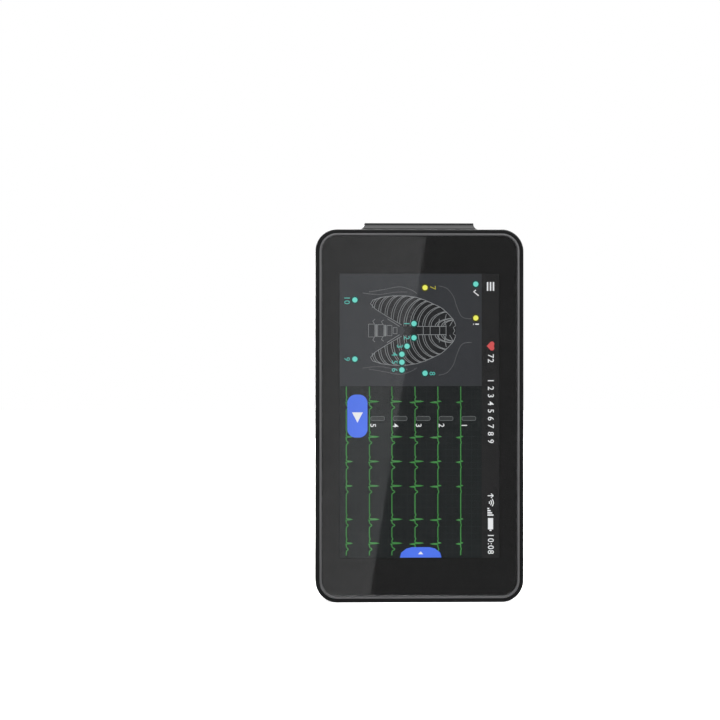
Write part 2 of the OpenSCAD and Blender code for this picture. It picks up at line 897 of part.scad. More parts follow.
module camera_ring() {
    ring_t = body_t - camera_seat;
    lip = 0.25;
    color("#121315") placed() translate([0, camera_seat, camera_z]) rotate([-90, 0, 0]) rotate_extrude()
        polygon([
            [camera_window_d / 2 + touch, 0],
            [camera_ring_d / 2, 0],
            [camera_ring_d / 2, ring_t - lip],
            [camera_ring_d / 2 - lip, ring_t],
            [camera_window_d / 2 + touch + 1, ring_t],
            [camera_window_d / 2 + touch, ring_t - 0.4]
        ]);
}

module camera_window() {
    color("#30363c") placed() rod([0, camera_z], camera_window_d, camera_seat, body_t - 0.4);
}

module antenna() {
    color("#c98d3a") placed() block(
        [-inner_x, web_back + 0.8, battery_low + 18],
        [-inner_x + ribbon_t, seam_depth - lip_h - 0.6, seam_z - 18]
    );
}

// ---- side keys ----

module side_board() {
    tail_z = main_low + 9;
    color("#12503a") placed() difference() {
        union() {
            block(
                [rib_face, web_back, function_z - function_len / 2],
                [board_face, side_board_back, power_z + power_len / 2]
            );
            block([main_right - 1.8, main_back, tail_z], [board_face, main_back + ribbon_t, tail_z + 4]);
        }
        block(
            [rib_face - past, web_back - past, key_mid - cradle_half - 0.3],
            [board_face + past, key_depth + 2.3, key_mid + cradle_half + 0.3]
        );
    }
}

module side_switches() {
    color("#c2c4c6") placed() for (z = switch_heights) difference() {
        block([board_face, key_depth - 1.6, z - 2], [switch_face, key_depth + 1.6, z + 2]);
        translate([plunger_in - key_travel - touch, key_depth, z]) rotate([0, 90, 0])
            cylinder(h = 3, d = plunger_d + 0.2);
    }
}

module plunger(z) {
    translate([plunger_in, key_depth, z]) rotate([0, 90, 0])
        cylinder(h = plunger_face - plunger_in, d = plunger_d);
}

module power_plunger() {
    color("#202020") placed() plunger(power_z);
}

module volume_plungers() {
    color("#202020") placed() for (s = [-1, 1]) plunger(key_mid + s * volume_arm);
}

module function_plunger() {
    color("#202020") placed() plunger(function_z);
}

// The outer bar of a key: a rounded outline with a softened outer edge.
module key_bar(z, len, inner) {
    r = key_w / 2;
    e = key_edge_r;
    half = (len - key_w) / 2;
    module half_section() {
        square([r, key_face - inner - e]);
        square([r - e, key_face - inner]);
        translate([r - e, key_face - inner - e]) circle(e);
    }
    translate([inner, key_depth, z]) {
        for (s = [-1, 1]) translate([0, 0, s * half]) rotate([0, 90, 0]) rotate_extrude() intersection() {
            half_section();
            square([r, key_face - inner]);
        }
        translate([0, 0, -half]) linear_extrude(2 * half) for (s = [0, 1]) mirror([0, s]) rotate(90)
            mirror([0, 1]) half_section();
    }
}

// A push key: bar, inner flange that stops it, and a nub on the plunger.
module push_key(z, len) {
    key_bar(z, len, flange_out - touch);
    bar(flange_in, flange_out) slot_tall([key_depth, z], key_w + 1.4, len + 1.4);
    translate([plunger_face, key_depth, z]) rotate([0, 90, 0])
        cylinder(h = flange_in - plunger_face + touch, d = 2);
}

module power_key() {
    color("#26272a") placed() push_key(power_z, power_len);
}

module function_key() {
    color("#26272a") placed() push_key(function_z, function_len);
}

// The volume key rocks on a round nose that clips into the web's cradle.
module volume_key() {
    neck = 0.5;
    color("#26272a") placed() {
        key_bar(key_mid, volume_len, spine_out - touch);
        bar(plunger_face, spine_out)
            slot_tall([key_depth, key_mid], key_w + 0.8, volume_len - 2 * spine_over);
        translate([pivot_x, key_depth - 1.3, key_mid]) rotate([-90, 0, 0]) cylinder(h = 2.6, r = pivot_r);
        block(
            [pivot_x, key_depth - 1.3, key_mid - neck],
            [plunger_face + touch, key_depth + 1.3, key_mid + neck]
        );
    }
}

// ---- back cover ----

// The lip that enters the front housing along the sides and the bottom, and under the upper seam.
module cover_lip() {
    inset = side_wall + lip_gap;
    module lip_ring(outer) {
        intersection() {
            difference() {
                outline(outer);
                outline(inset + lip_t);
            }
            translate([-half_w, 0]) square([body_w, seam_z - seam_r - 3]);
        }
    }
    plate(seam_depth - lip_h, seam_depth + 0.9) lip_ring(inset);
    plate(seam_depth + 0.2, seam_depth + 0.9) lip_ring(side_wall - 0.4);
    tab_x = half_w - edge_in + 1;
    tab_front = back_in - 0.85;
    block([-tab_x, tab_front, seam_z - 3], [tab_x, back_in - touch, seam_z + 1.6]);
    block([-tab_x, tab_front, seam_z - 3], [tab_x, back_in + 0.3, seam_z - 0.6]);
}

module speaker_cradle() {
    plate(speaker_back - speaker_t / 2, back_in + 0.2) difference() {
        speaker_outline(0.1 + cradle_wall);
        speaker_outline(0.1);
    }
}

module grille_holes() {
    for (i = [0:grille_columns - 1], j = [0:grille_rows - 1]) {
        x = (i - (grille_columns - 1) / 2) * grille_pitch;
        z = grille_z + (j - (grille_rows - 1) / 2) * grille_pitch;
        rod([x, z], grille_d, back_in - past, body_t + past, $fn = 24);
    }
}

module rear_cover() {
    color("#1d1e20") placed() difference() {
        union() {
            intersection() {
                difference() {
                    outer_form();
                    inner_form();
                }
                plate(seam_depth + seam_gap / 2, body_t + past) cover_outline(-seam_gap / 2);
            }
            cover_lip();
            speaker_cradle();
            for (place = screw_places) rod(place, post_d, post_top + touch, back_in + 0.3);
        }
        grille_holes();
        plate(body_t - label_deep, body_t + past)
            round_rect([-label_dx, label_low], [label_dx, label_low + label_h], 2.5);
        for (place = screw_places) rod(place, m16_d + 0.4, post_top - past, body_t);
        for (place = screw_places) rod(place, sink_d, head_seat, body_t + past);
    }
}

module rear_inserts() {
    color("#c9a24a") placed() for (place = screw_places) difference() {
        rod(place, insert_d, post_top - insert_h, post_top);
        rod(place, m16_d + 0.05, post_top - insert_h - past, post_top + past);
    }
}

module rear_screws() {
    color("#1a1a1c") placed() for (place = screw_places) screw(place, head_seat, post_top - insert_h);
}

housing_frame();
bezel_ring();
front_glass();
glass_adhesive();
optical_bond();
display_panel();
display_ribbon();
main_board();
board_shields();
board_header();
ecg_board();
ecg_shield();
board_spacers();
board_screws();
socket_shell();
socket_insert();
socket_contacts();
jack_screws();
socket_nuts();
battery();
battery_tape();
battery_lead();
link_ribbon();
usb_board();
usb_shell();
usb_tongue();
usb_board_screws();
microphone();
speaker();
speaker_gasket();
grille_mesh();
camera_module();
camera_ring();
camera_window();
antenna();
side_board();
side_switches();
power_plunger();
volume_plungers();
function_plunger();
power_key();
volume_key();
function_key();
rear_cover();
rear_inserts();
rear_screws();
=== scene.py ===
"""Looks of a handheld ECG monitor: its case, window, screen, keys, socket and camera, round the CAD frame."""

import sys  # noqa: E702
import logging
import math
from collections.abc import Callable, Iterable, Sequence
from dataclasses import dataclass, field
from enum import Enum

import bmesh
import bpy
from mathutils import Matrix, Vector


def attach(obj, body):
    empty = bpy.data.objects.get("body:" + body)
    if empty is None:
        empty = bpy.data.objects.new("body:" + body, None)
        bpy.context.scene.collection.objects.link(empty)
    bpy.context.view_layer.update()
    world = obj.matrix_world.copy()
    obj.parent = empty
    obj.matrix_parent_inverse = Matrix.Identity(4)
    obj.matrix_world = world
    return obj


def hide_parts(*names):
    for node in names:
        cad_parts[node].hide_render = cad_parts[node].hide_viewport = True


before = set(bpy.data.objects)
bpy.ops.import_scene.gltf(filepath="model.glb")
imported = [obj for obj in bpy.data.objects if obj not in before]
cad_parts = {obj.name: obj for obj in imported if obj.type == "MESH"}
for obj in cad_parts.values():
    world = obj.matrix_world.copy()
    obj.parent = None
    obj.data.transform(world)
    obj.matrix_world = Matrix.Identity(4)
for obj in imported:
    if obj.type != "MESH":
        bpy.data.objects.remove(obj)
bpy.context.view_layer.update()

LOG = logging.getLogger("ecg_monitor")
MM = 0.001
SMOOTH_DEG = 32.0  # faces that meet at less than this angle are shaded as one surface
BEVEL_DEG = 38.0  # edges sharper than this are rounded
HALF_DEPTH = 8.5  # from the glass to the frame's origin, in millimetres
WELD_MM = 0.0005  # points closer than this become one
LEAST_R = 1e-5  # stands for a radius of nothing on a turned form's axis, in millimetres
FILM_MM = 0.008  # thickness of the screen picture's areas

Inputs = dict[str | int, object]
Socket = bpy.types.NodeSocket
Flat = tuple[float, float]
Point = tuple[float, float, float]
Colour = tuple[float, float, float]
Thing = bpy.types.Object


class Body(Enum):
    """The CAD bodies that pieces ride on."""

    CASE = "case"
    POWER = "power"
    VOLUME = "volume"
    FUNCTION = "function"


class Slot(Enum):
    """The record's material slots."""

    CASE = "case_plastic"
    KEY = "key_plastic"
    BEZEL = "bezel_metal"
    GLASS = "cover_glass"
    BOND = "clear_bond"
    INK = "black_adhesive"
    DISPLAY = "display"
    RIBBON = "ribbon"
    BOARD = "circuit_board"
    ECG_BOARD = "ecg_circuit_board"
    TIN = "tin_plate"
    STEEL = "screw_steel"
    BLACK_SCREW = "black_screw"
    BRASS = "brass"
    GOLD = "contact_gold"
    NICKEL = "nickel_shell"
    SOCKET = "socket_plastic"
    BLACK = "black_plastic"
    BATTERY = "battery_wrap"
    TAPE = "white_tape"
    RED = "red_film"
    FOAM = "foam"
    CLOTH = "grille_cloth"
    LENS = "camera_glass"
    GLOSS = "camera_gloss"
    ANTENNA = "antenna_film"


# ---- finishes ----


class Nodes:
    """A node tree that is being built."""

    def __init__(self, tree: bpy.types.NodeTree) -> None:
        """Takes the tree that nodes are added to."""
        self.tree = tree

    def node(self, kind: str, inputs: Inputs | None = None, **settings: object) -> bpy.types.Node:
        """Adds a node.

        Args:
            kind: Blender's node type.
            inputs: Values, or sockets to link from, by input name or number.
            settings: The node's own settings.

        Returns:
            The new node.
        """
        made = self.tree.nodes.new(kind)
        for label, value in settings.items():
            setattr(made, label, value)
        for label, value in (inputs or {}).items():
            if isinstance(value, bpy.types.NodeSocket):
                self.tree.links.new(value, made.inputs[label])
            else:
                made.inputs[label].default_value = value
        return made


class Shader(Nodes):
    """A material being made: its node tree, and the shader that the tree ends in."""

    def __init__(self, name: str) -> None:
        """Starts a material with one Principled shader.

        Args:
            name: The material's name.
        """
        self.material = bpy.data.materials.new(name)
        self.material.use_nodes = True
        super().__init__(self.material.node_tree)
        self.surface = self.tree.nodes["Principled BSDF"]

    def set(self, values: dict[str, object]) -> None:
        """Sets constant values on the shader's own sockets.

        Args:
            values: Value by socket name.
        """
        for label, value in values.items():
            is_colour = isinstance(value, tuple) and len(value) == 3
            self.surface.inputs[label].default_value = (*value, 1.0) if is_colour else value

    def link(self, source: Socket, label: str) -> None:
        """Links a socket to the shader's input of this name."""
        self.tree.links.new(source, self.surface.inputs[label])

    def place(self, stretch: Point = (1.0, 1.0, 1.0)) -> Socket:
        """Gives object coordinates, stretched by these scales along X, Y and Z."""
        where = self.node("ShaderNodeTexCoord").outputs["Object"]
        return self.node("ShaderNodeMapping", {"Vector": where, "Scale": stretch}).outputs["Vector"]

    def noise(self, size_mm: float, detail: float = 2.0, stretch: Point = (1.0, 1.0, 1.0)) -> Socket:
        """Gives a noise with grains of about this size, its octaves and its stretch."""
        inputs = {"Vector": self.place(stretch), "Scale": 1.0 / (size_mm * MM), "Detail": detail}
        return self.node("ShaderNodeTexNoise", inputs).outputs[0]

    def span(self, value: Socket, low: float, high: float) -> Socket:
        """Maps a noise onto the range from `low` to `high`."""
        inputs = {"Value": value, "From Min": 0.3, "From Max": 0.7, "To Min": low, "To Max": high}
        return self.node("ShaderNodeMapRange", inputs).outputs["Result"]

    def blend(self, factor: Socket, first: Colour, second: Colour) -> Socket:
        """Mixes two colours, where the factor is the second one's share."""
        inputs = {0: factor, 6: (*first, 1.0), 7: (*second, 1.0)}
        return self.node("ShaderNodeMix", inputs, data_type="RGBA").outputs[2]

    def relief(self, height: Socket, deep_mm: float) -> None:
        """Lets a pattern stand out from the surface by this many millimetres."""
        inputs = {"Height": height, "Strength": 1.0, "Distance": deep_mm * MM}
        self.link(self.node("ShaderNodeBump", inputs).outputs["Normal"], "Normal")


@dataclass(frozen=True)
class Finish:
    """A surface with a slow change of tone, a change of gloss and a fine grain.

    Attributes:
        slot: The record's slot that it belongs to.
        colour: Its base colour.
        tone: The colour that it drifts to.
        rough: Middle roughness.
        spread: How far the roughness varies each way.
        drift_mm: Size of the slow changes.
        grain_mm: Size of the grain.
        relief_mm: Height of the grain.
        values: Constant values for the shader's own sockets.
        stretch: Scale of the grain along each axis.
    """

    slot: Slot
    colour: Colour
    tone: Colour
    rough: float = 0.5
    spread: float = 0.04
    drift_mm: float = 9.0
    grain_mm: float = 0.3
    relief_mm: float = 0.004
    values: tuple[tuple[str, object], ...] = ()
    stretch: Point = (1.0, 1.0, 1.0)

    def build(self) -> bpy.types.Material:
        """Makes the material.

        Returns:
            The material, named after its slot.
        """
        shader = Shader(self.slot.value)
        shader.set(dict(self.values))
        drift = shader.noise(self.drift_mm, 3.0)
        grain = shader.noise(self.grain_mm, 2.0, self.stretch)
        self.dress(shader, drift, grain)
        return shader.material

    def dress(self, shader: Shader, drift: Socket, grain: Socket) -> None:
        """Links the colour, gloss and grain.

        Args:
            shader: The material being made.
            drift: The slow noise.
            grain: The fine noise.
        """
        shader.link(shader.blend(shader.span(drift, 0.0, 1.0), self.colour, self.tone), "Base Color")
        shader.link(shader.span(grain, self.rough - self.spread, self.rough + self.spread), "Roughness")
        shader.relief(grain, self.relief_mm)


@dataclass(frozen=True)
class CircuitFinish(Finish):
    """A solder mask with copper tracks that show through it."""

    def dress(self, shader: Shader, drift: Socket, grain: Socket) -> None:
        """Links the mask's colour with tracks, and their relief.

        Args:
            shader: The material being made.
            drift: The slow noise; not used here.
            grain: The fine noise.
        """
        inputs = {"Vector": shader.place(), "Scale": 1.0 / (2.4 * MM)}
        cells = shader.node("ShaderNodeTexVoronoi", inputs, distance="MANHATTAN", feature="F1")
        scaled = {0: cells.outputs["Distance"], 1: 14.0}
        track = shader.node("ShaderNodeMath", scaled, operation="MULTIPLY").outputs[0]
        wave = shader.node("ShaderNodeMath", {0: track}, operation="SINE").outputs[0]
        shader.link(shader.blend(shader.span(wave, 0.0, 1.0), self.colour, self.tone), "Base Color")
        shader.link(shader.span(grain, self.rough - self.spread, self.rough + self.spread), "Roughness")
        shader.relief(wave, self.relief_mm)


@dataclass(frozen=True)
class ClothFinish(Finish):
    """A fine woven cloth."""

    def dress(self, shader: Shader, drift: Socket, grain: Socket) -> None:
        """Links a weave of two crossed waves.

        Args:
            shader: The material being made.
            drift: The slow noise.
            grain: The fine noise; not used here.
        """
        scale = 1.0 / (self.grain_mm * MM) / 2.0
        threads = [
            shader.node(
                "ShaderNodeTexWave", {"Vector": shader.place(), "Scale": scale, "Distortion": 0.0},
                bands_direction=axis,
            ).outputs[1]
            for axis in ("X", "Z")
        ]
        weave = shader.node("ShaderNodeMath", {0: threads[0], 1: threads[1]}, operation="MULTIPLY").outputs[0]
        shader.link(shader.blend(weave, self.colour, self.tone), "Base Color")
        shader.link(shader.span(drift, self.rough - self.spread, self.rough + self.spread), "Roughness")
        shader.relief(weave, self.relief_mm)


@dataclass(frozen=True)
class Glow:
    """A lit part of the screen picture.

    Attributes:
        name: The material's name.
        colour: Colour of the light.
        dim: How far the light falls off in the slow pattern.
        drift_mm: Size of the slow pattern.
    """

    name: str
    colour: Colour
    dim: float = 0.08
    drift_mm: float = 14.0

    def build(self) -> bpy.types.Material:
        """Makes the material.

        Returns:
            A black surface that gives off the light.
        """
        shader = Shader(self.name)
        shader.set({"Base Color": (0.0, 0.0, 0.0), "Emission Strength": 1.0})
        shader.set({"Roughness": 0.02, "Specular IOR Level": 1.0})
        low: Colour = tuple(c * (1.0 - self.dim) for c in self.colour)
        share = shader.span(shader.noise(self.drift_mm), 0.0, 1.0)
        shader.link(shader.blend(share, self.colour, low), "Emission Color")
        return shader.material


METAL = (("Metallic", 1.0),)

# The clear cover mirrors nothing itself: the black print and the lit picture behind it carry the
# reflection of the lamps. Otherwise the same reflection would be seen twice.

FINISHES: dict[Slot, Finish] = {
    finish.slot: finish
    for finish in (
        Finish(
            Slot.CASE, (0.0019, 0.002, 0.0022), (0.0028, 0.0029, 0.0032), 0.32, 0.04, 12.0, 0.22, 0.0018,
            (("Specular IOR Level", 0.3),),
        ),
        Finish(
            Slot.KEY, (0.0065, 0.0066, 0.007), (0.0085, 0.0085, 0.009), 0.36, 0.04, 6.0, 0.18, 0.0012,
            (("Specular IOR Level", 0.4),),
        ),
        Finish(
            Slot.BEZEL, (0.074, 0.074, 0.076), (0.082, 0.082, 0.084), 0.5, 0.03, 10.0, 0.15, 0.0005,
            (("Metallic", 0.35), ("Anisotropic", 0.2)),
        ),
        Finish(
            Slot.GLASS, (1.0, 1.0, 1.0), (0.992, 0.996, 0.998), 0.0, 0.0, 30.0, 20.0, 0.0,
            (("Transmission Weight", 1.0), ("IOR", 1.12), ("Specular Tint", (0.0, 0.0, 0.0, 1.0))),
        ),
        Finish(
            Slot.BOND, (1.0, 1.0, 1.0), (0.99, 0.995, 1.0), 0.0, 0.0, 30.0, 20.0, 0.0,
            (("Transmission Weight", 1.0), ("IOR", 1.005)),
        ),
        Finish(
            Slot.INK, (0.0, 0.0, 0.0), (0.0001, 0.0001, 0.0001), 0.02, 0.01, 30.0, 6.0, 0.0,
            (("Specular IOR Level", 1.0),),
        ),
        Finish(
            Slot.DISPLAY, (0.0012, 0.0013, 0.0015), (0.0018, 0.002, 0.0022), 0.6, 0.05, 12.0, 0.5, 0.001,
            (("Specular IOR Level", 0.05),),
        ),
        Finish(Slot.RIBBON, (0.42, 0.13, 0.022), (0.52, 0.19, 0.035), 0.35, 0.06, 3.0, 0.2, 0.002),
        CircuitFinish(Slot.BOARD, (0.006, 0.075, 0.038), (0.012, 0.13, 0.062), 0.32, 0.06, 8.0, 0.3, 0.02),
        CircuitFinish(Slot.ECG_BOARD, (0.008, 0.052, 0.17), (0.014, 0.09, 0.25), 0.32, 0.06, 8.0, 0.3, 0.02),
        Finish(Slot.TIN, (0.55, 0.56, 0.57), (0.66, 0.67, 0.68), 0.34, 0.07, 5.0, 0.3, 0.003, METAL),
        Finish(
            Slot.STEEL, (0.42, 0.42, 0.43), (0.54, 0.54, 0.55), 0.3, 0.08, 2.0, 0.12, 0.002, METAL,
            (1.0, 0.15, 1.0),
        ),
        Finish(
            Slot.BLACK_SCREW, (0.03, 0.03, 0.032), (0.05, 0.05, 0.053), 0.36, 0.08, 1.5, 0.12, 0.002, METAL,
        ),
        Finish(Slot.BRASS, (0.62, 0.42, 0.13), (0.72, 0.5, 0.18), 0.3, 0.07, 2.0, 0.12, 0.002, METAL),
        Finish(Slot.GOLD, (0.83, 0.56, 0.17), (0.92, 0.66, 0.26), 0.22, 0.06, 1.5, 0.1, 0.001, METAL),
        Finish(Slot.NICKEL, (0.52, 0.51, 0.49), (0.64, 0.63, 0.61), 0.28, 0.07, 4.0, 0.2, 0.002, METAL),
        Finish(Slot.SOCKET, (0.012, 0.055, 0.26), (0.018, 0.075, 0.33), 0.42, 0.05, 5.0, 0.2, 0.002),
        Finish(Slot.BLACK, (0.011, 0.011, 0.012), (0.016, 0.016, 0.017), 0.5, 0.06, 5.0, 0.2, 0.003),
        Finish(Slot.BATTERY, (0.04, 0.044, 0.05), (0.055, 0.06, 0.068), 0.4, 0.08, 8.0, 0.6, 0.01),
        Finish(Slot.TAPE, (0.8, 0.78, 0.7), (0.86, 0.85, 0.79), 0.6, 0.05, 4.0, 0.3, 0.006),
        Finish(Slot.RED, (0.26, 0.012, 0.012), (0.34, 0.02, 0.018), 0.4, 0.06, 3.0, 0.2, 0.003),
        Finish(Slot.FOAM, (0.035, 0.035, 0.037), (0.055, 0.055, 0.057), 0.9, 0.05, 1.0, 0.15, 0.03),
        ClothFinish(Slot.CLOTH, (0.006, 0.006, 0.007), (0.02, 0.02, 0.022), 0.7, 0.1, 2.0, 0.16, 0.03),
        Finish(
            Slot.LENS, (0.3, 0.32, 0.36), (0.34, 0.36, 0.4), 0.04, 0.01, 3.0, 6.0, 0.0,
            (("Transmission Weight", 1.0), ("IOR", 1.5), ("Specular Tint", (0.16, 0.18, 0.24, 1.0))),
        ),
        Finish(
            Slot.GLOSS, (0.004, 0.004, 0.0045), (0.007, 0.007, 0.0075), 0.2, 0.04, 4.0, 0.2, 0.0004,
            (("Coat Weight", 0.3), ("Coat Roughness", 0.12)),
        ),
        Finish(Slot.ANTENNA, (0.55, 0.3, 0.09), (0.64, 0.37, 0.12), 0.4, 0.08, 4.0, 0.3, 0.003),
    )
}

CAD_SLOTS: dict[Slot, tuple[str, ...]] = {
    Slot.INK: ("glass_adhesive",),
    Slot.BOND: ("optical_bond",),
    Slot.DISPLAY: ("display_panel",),
    Slot.RIBBON: ("display_ribbon", "link_ribbon"),
    Slot.BOARD: ("main_board", "usb_board", "side_board"),
    Slot.ECG_BOARD: ("ecg_board",),
    Slot.TIN: ("board_shields", "ecg_shield", "side_switches", "microphone"),
    Slot.STEEL: ("socket_nuts", "usb_board_screws"),
    Slot.BRASS: ("board_spacers", "rear_inserts"),
    Slot.NICKEL: ("socket_shell", "usb_shell"),
    Slot.SOCKET: ("socket_insert",),
    Slot.BLACK: (
        "board_header", "usb_tongue", "speaker", "camera_module", "power_plunger", "volume_plungers",
        "function_plunger",
    ),
    Slot.BATTERY: ("battery",),
    Slot.TAPE: ("battery_tape",),
    Slot.RED: ("battery_lead",),
    Slot.FOAM: ("speaker_gasket",),
    Slot.CLOTH: ("grille_mesh",),
    Slot.ANTENNA: ("antenna",),
}

_built: dict[Slot, bpy.types.Material] = {}


def finish_of(slot: Slot) -> bpy.types.Material:
    """Gives a slot's material, made once.

    Args:
        slot: The record's slot.

    Returns:
        The material.
    """
    if slot not in _built:
        _built[slot] = FINISHES[slot].build()
    return _built[slot]


# ---- outlines and solids ----


def placed(name: str, data: bpy.types.ID) -> Thing:
    """Puts an object into the scene, at the origin.

    Args:
        name: Its name.
        data: Its mesh, lamp, camera or text.

    Returns:
        The object.
    """
    made = bpy.data.objects.new(name, data)
    bpy.context.scene.collection.objects.link(made)
    return made


def arc(centre: Flat, r: float, start: float, stop: float, steps: int) -> list[Flat]:
    """Gives an arc's points: round a centre, from one angle in degrees to another, in so many chords."""
    turns = [math.radians(start + (stop - start) * i / steps) for i in range(steps + 1)]
    return [(centre[0] + r * math.cos(t), centre[1] + r * math.sin(t)) for t in turns]


def circle(centre: Flat, r: float, steps: int) -> list[Flat]:
    """Gives a full circle's points, in so many chords."""
    return arc(centre, r, 0, 360, steps)[:-1]


def round_rect(low: Flat, high: Flat, r: float, steps: int = 10) -> list[Flat]:
    """Gives a rectangle with round corners.

    Args:
        low: Its lowest corner.
        high: Its highest corner.
        r: Radius of the corners.
        steps: Chords in a corner.

    Returns:
        The outline, anticlockwise.
    """
    corners = [
        ((high[0] - r, high[1] - r), 0), ((low[0] + r, high[1] - r), 90),
        ((low[0] + r, low[1] + r), 180), ((high[0] - r, low[1] + r), 270),
    ]
    return [p for centre, turn in corners for p in arc(centre, r, turn, turn + 90, steps)]


def slot_outline(centre: Flat, w: float, length: float, steps: int = 16) -> list[Flat]:
    """Gives a slot with round ends, longer along its second axis.

    Args:
        centre: Its middle.
        w: Its width.
        length: Its length.
        steps: Chords in an end.

    Returns:
        The outline, anticlockwise.
    """
    half = (length - w) / 2
    top, low = (centre[0], centre[1] + half), (centre[0], centre[1] - half)
    return arc(top, w / 2, 0, 180, steps) + arc(low, w / 2, 180, 360, steps)


class Solid:
    """Points in millimetres, each (x, depth behind the glass, z), and the faces between them."""

    def __init__(self, name: str) -> None:
        """Starts an empty solid.

        Args:
            name: Name of the object that it becomes.
        """
        self.name = name
        self.points: list[Point] = []
        self.faces: list[tuple[int, ...]] = []

    def stack(self, rings: Sequence[Sequence[Point]], closed: bool = False) -> "Solid":
        """Skins a stack of rings with equal counts.

        Args:
            rings: The rings in order.
            closed: True where the last ring joins the first, so that there are no caps.

        Returns:
            The solid itself.
        """
        start, n = len(self.points), len(rings[0])
        self.points += [p for ring in rings for p in ring]
        pairs = len(rings) if closed else len(rings) - 1
        for i in range(pairs):
            a, b = start + i * n, start + (i + 1) % len(rings) * n
            self.faces += [(a + j, a + (j + 1) % n, b + (j + 1) % n, b + j) for j in range(n)]
        if not closed:
            self.faces.append(tuple(range(start + n - 1, start - 1, -1)))
            self.faces.append(tuple(range(start + (len(rings) - 1) * n, start + len(rings) * n)))
        return self

    def plate(self, outline: Sequence[Flat], d0: float, d1: float) -> "Solid":
        """Adds an outline of (x, z) points as a plate between two depths."""
        return self.stack([[(x, d, z) for x, z in outline] for d in (d0, d1)])

    def bar(self, outline: Sequence[Flat], x0: float, x1: float) -> "Solid":
        """Adds an outline of (depth, z) points as a bar between two places along X."""
        return self.stack([[(x, d, z) for d, z in outline] for x in (x0, x1)])

    def post(self, outline: Sequence[Flat], z0: float, z1: float) -> "Solid":
        """Adds an outline of (x, depth) points as a post between two heights."""
        return self.stack([[(x, d, z) for x, d in outline] for z in (z0, z1)])

    def turned(self, profile: Sequence[Flat], at: Callable[[float, float, float], Point], steps: int = 48,
               hollow: bool = False) -> "Solid":
        """Turns a profile round an axis.

        Args:
            profile: Points (radius, place along the axis).
            at: Gives the point for two offsets across the axis and a place along it.
            steps: Sides of the turned form.
            hollow: True for a closed profile that stays off the axis.

        Returns:
            The solid itself.
        """
        turns = [math.tau * i / steps for i in range(steps)]
        rings = []
        for radius, h in profile:
            r = max(radius, LEAST_R)
            rings.append([at(r * math.cos(t), r * math.sin(t), h) for t in turns])
        return self.stack(rings, closed=hollow)

    def make(self) -> Thing:
        """Makes the object, with its faces outwards.

        Returns:
            The object, at the origin, with its place in its mesh.
        """
        mesh = bpy.data.meshes.new(self.name)
        mesh.from_pydata([(x * MM, (d - HALF_DEPTH) * MM, z * MM) for x, d, z in self.points], [], self.faces)
        form = bmesh.new()
        form.from_mesh(mesh)
        bmesh.ops.remove_doubles(form, verts=form.verts, dist=WELD_MM * MM)
        bmesh.ops.recalc_face_normals(form, faces=form.faces)
        form.to_mesh(mesh)
        form.free()
        return placed(self.name, mesh)


def settle(piece: Thing) -> Thing:
    """Puts a piece's modifiers into its mesh.

    Args:
        piece: The piece.

    Returns:
        The same piece, with no modifiers.
    """
    graph = bpy.context.evaluated_depsgraph_get()
    shown = piece.evaluated_get(graph)
    mesh = bpy.data.meshes.new_from_object(shown, preserve_all_data_layers=True, depsgraph=graph)
    piece.modifiers.clear()
    piece.data = mesh
    mesh.name = piece.name
    return piece


class Join(Enum):
    """How two solids meet."""

    ADD = "UNION"
    CUT = "DIFFERENCE"
    KEEP = "INTERSECT"


def combine(piece: Thing, tool: Thing, how: Join) -> Thing:
    """Adds, cuts or keeps one solid with another, and drops the second.

    Args:
        piece: The solid that stays.
        tool: The solid that is used up.
        how: What is done.

    Returns:
        The first solid, changed.

    Raises:
        ValueError: Where nothing is left.
    """
    step = piece.modifiers.new("join", "BOOLEAN")
    step.operation, step.object, step.solver = how.value, tool, "MANIFOLD"
    settle(piece)
    bpy.data.objects.remove(tool)
    if not piece.data.vertices:
        raise ValueError(f"{piece.name}: nothing is left after {how.name}")
    return piece


def soften(piece: Thing, width_mm: float = 0.0, angle: float = SMOOTH_DEG) -> Thing:
    """Rounds the sharp edges a little, and shades the rest smooth.

    Args:
        piece: The piece.
        width_mm: Width of the rounding; none where it is 0.
        angle: Faces that meet at less than this many degrees are shaded as one surface.

    Returns:
        The piece.
    """
    if width_mm:
        step = piece.modifiers.new("edge", "BEVEL")
        step.width, step.segments, step.limit_method = width_mm * MM, 2, "ANGLE"
        step.angle_limit = math.radians(BEVEL_DEG)
        step.use_clamp_overlap = True
        settle(piece)
    form = bmesh.new()
    form.from_mesh(piece.data)
    limit = math.radians(angle)
    for edge in form.edges:
        edge.smooth = len(edge.link_faces) == 2 and edge.calc_face_angle(0.0) < limit
    for face in form.faces:
        face.smooth = True
    form.to_mesh(piece.data)
    form.free()
    step = piece.modifiers.new("normals", "WEIGHTED_NORMAL")
    step.keep_sharp, step.weight = True, 80
    return settle(piece)


def dress(piece: Thing, material: bpy.types.Material) -> None:
    """Gives a piece one material, in place of any that it has."""
    piece.data.materials.clear()
    piece.data.materials.append(material)


def show(piece: Thing, slot: Slot, body: Body = Body.CASE, nodes: Sequence[str] = (),
         material: bpy.types.Material | None = None) -> Thing:
    """Dresses a finished piece, and puts it on its body.

    Args:
        piece: The piece.
        slot: The record's slot that it takes its finish from.
        body: The CAD body that it rides on.
        nodes: CAD nodes that it stands for.
        material: Its material, where it isn't the slot's own.

    Returns:
        The piece.
    """
    dress(piece, material or finish_of(slot))
    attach(piece, body.value)
    if nodes:
        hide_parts(*nodes)
    faces = len(piece.data.polygons)
    LOG.info("%s: %d faces, on %s, for %s", piece.name, faces, body.value, ", ".join(nodes) or "looks")
    return piece


# ---- pieces that repeat or follow a line ----


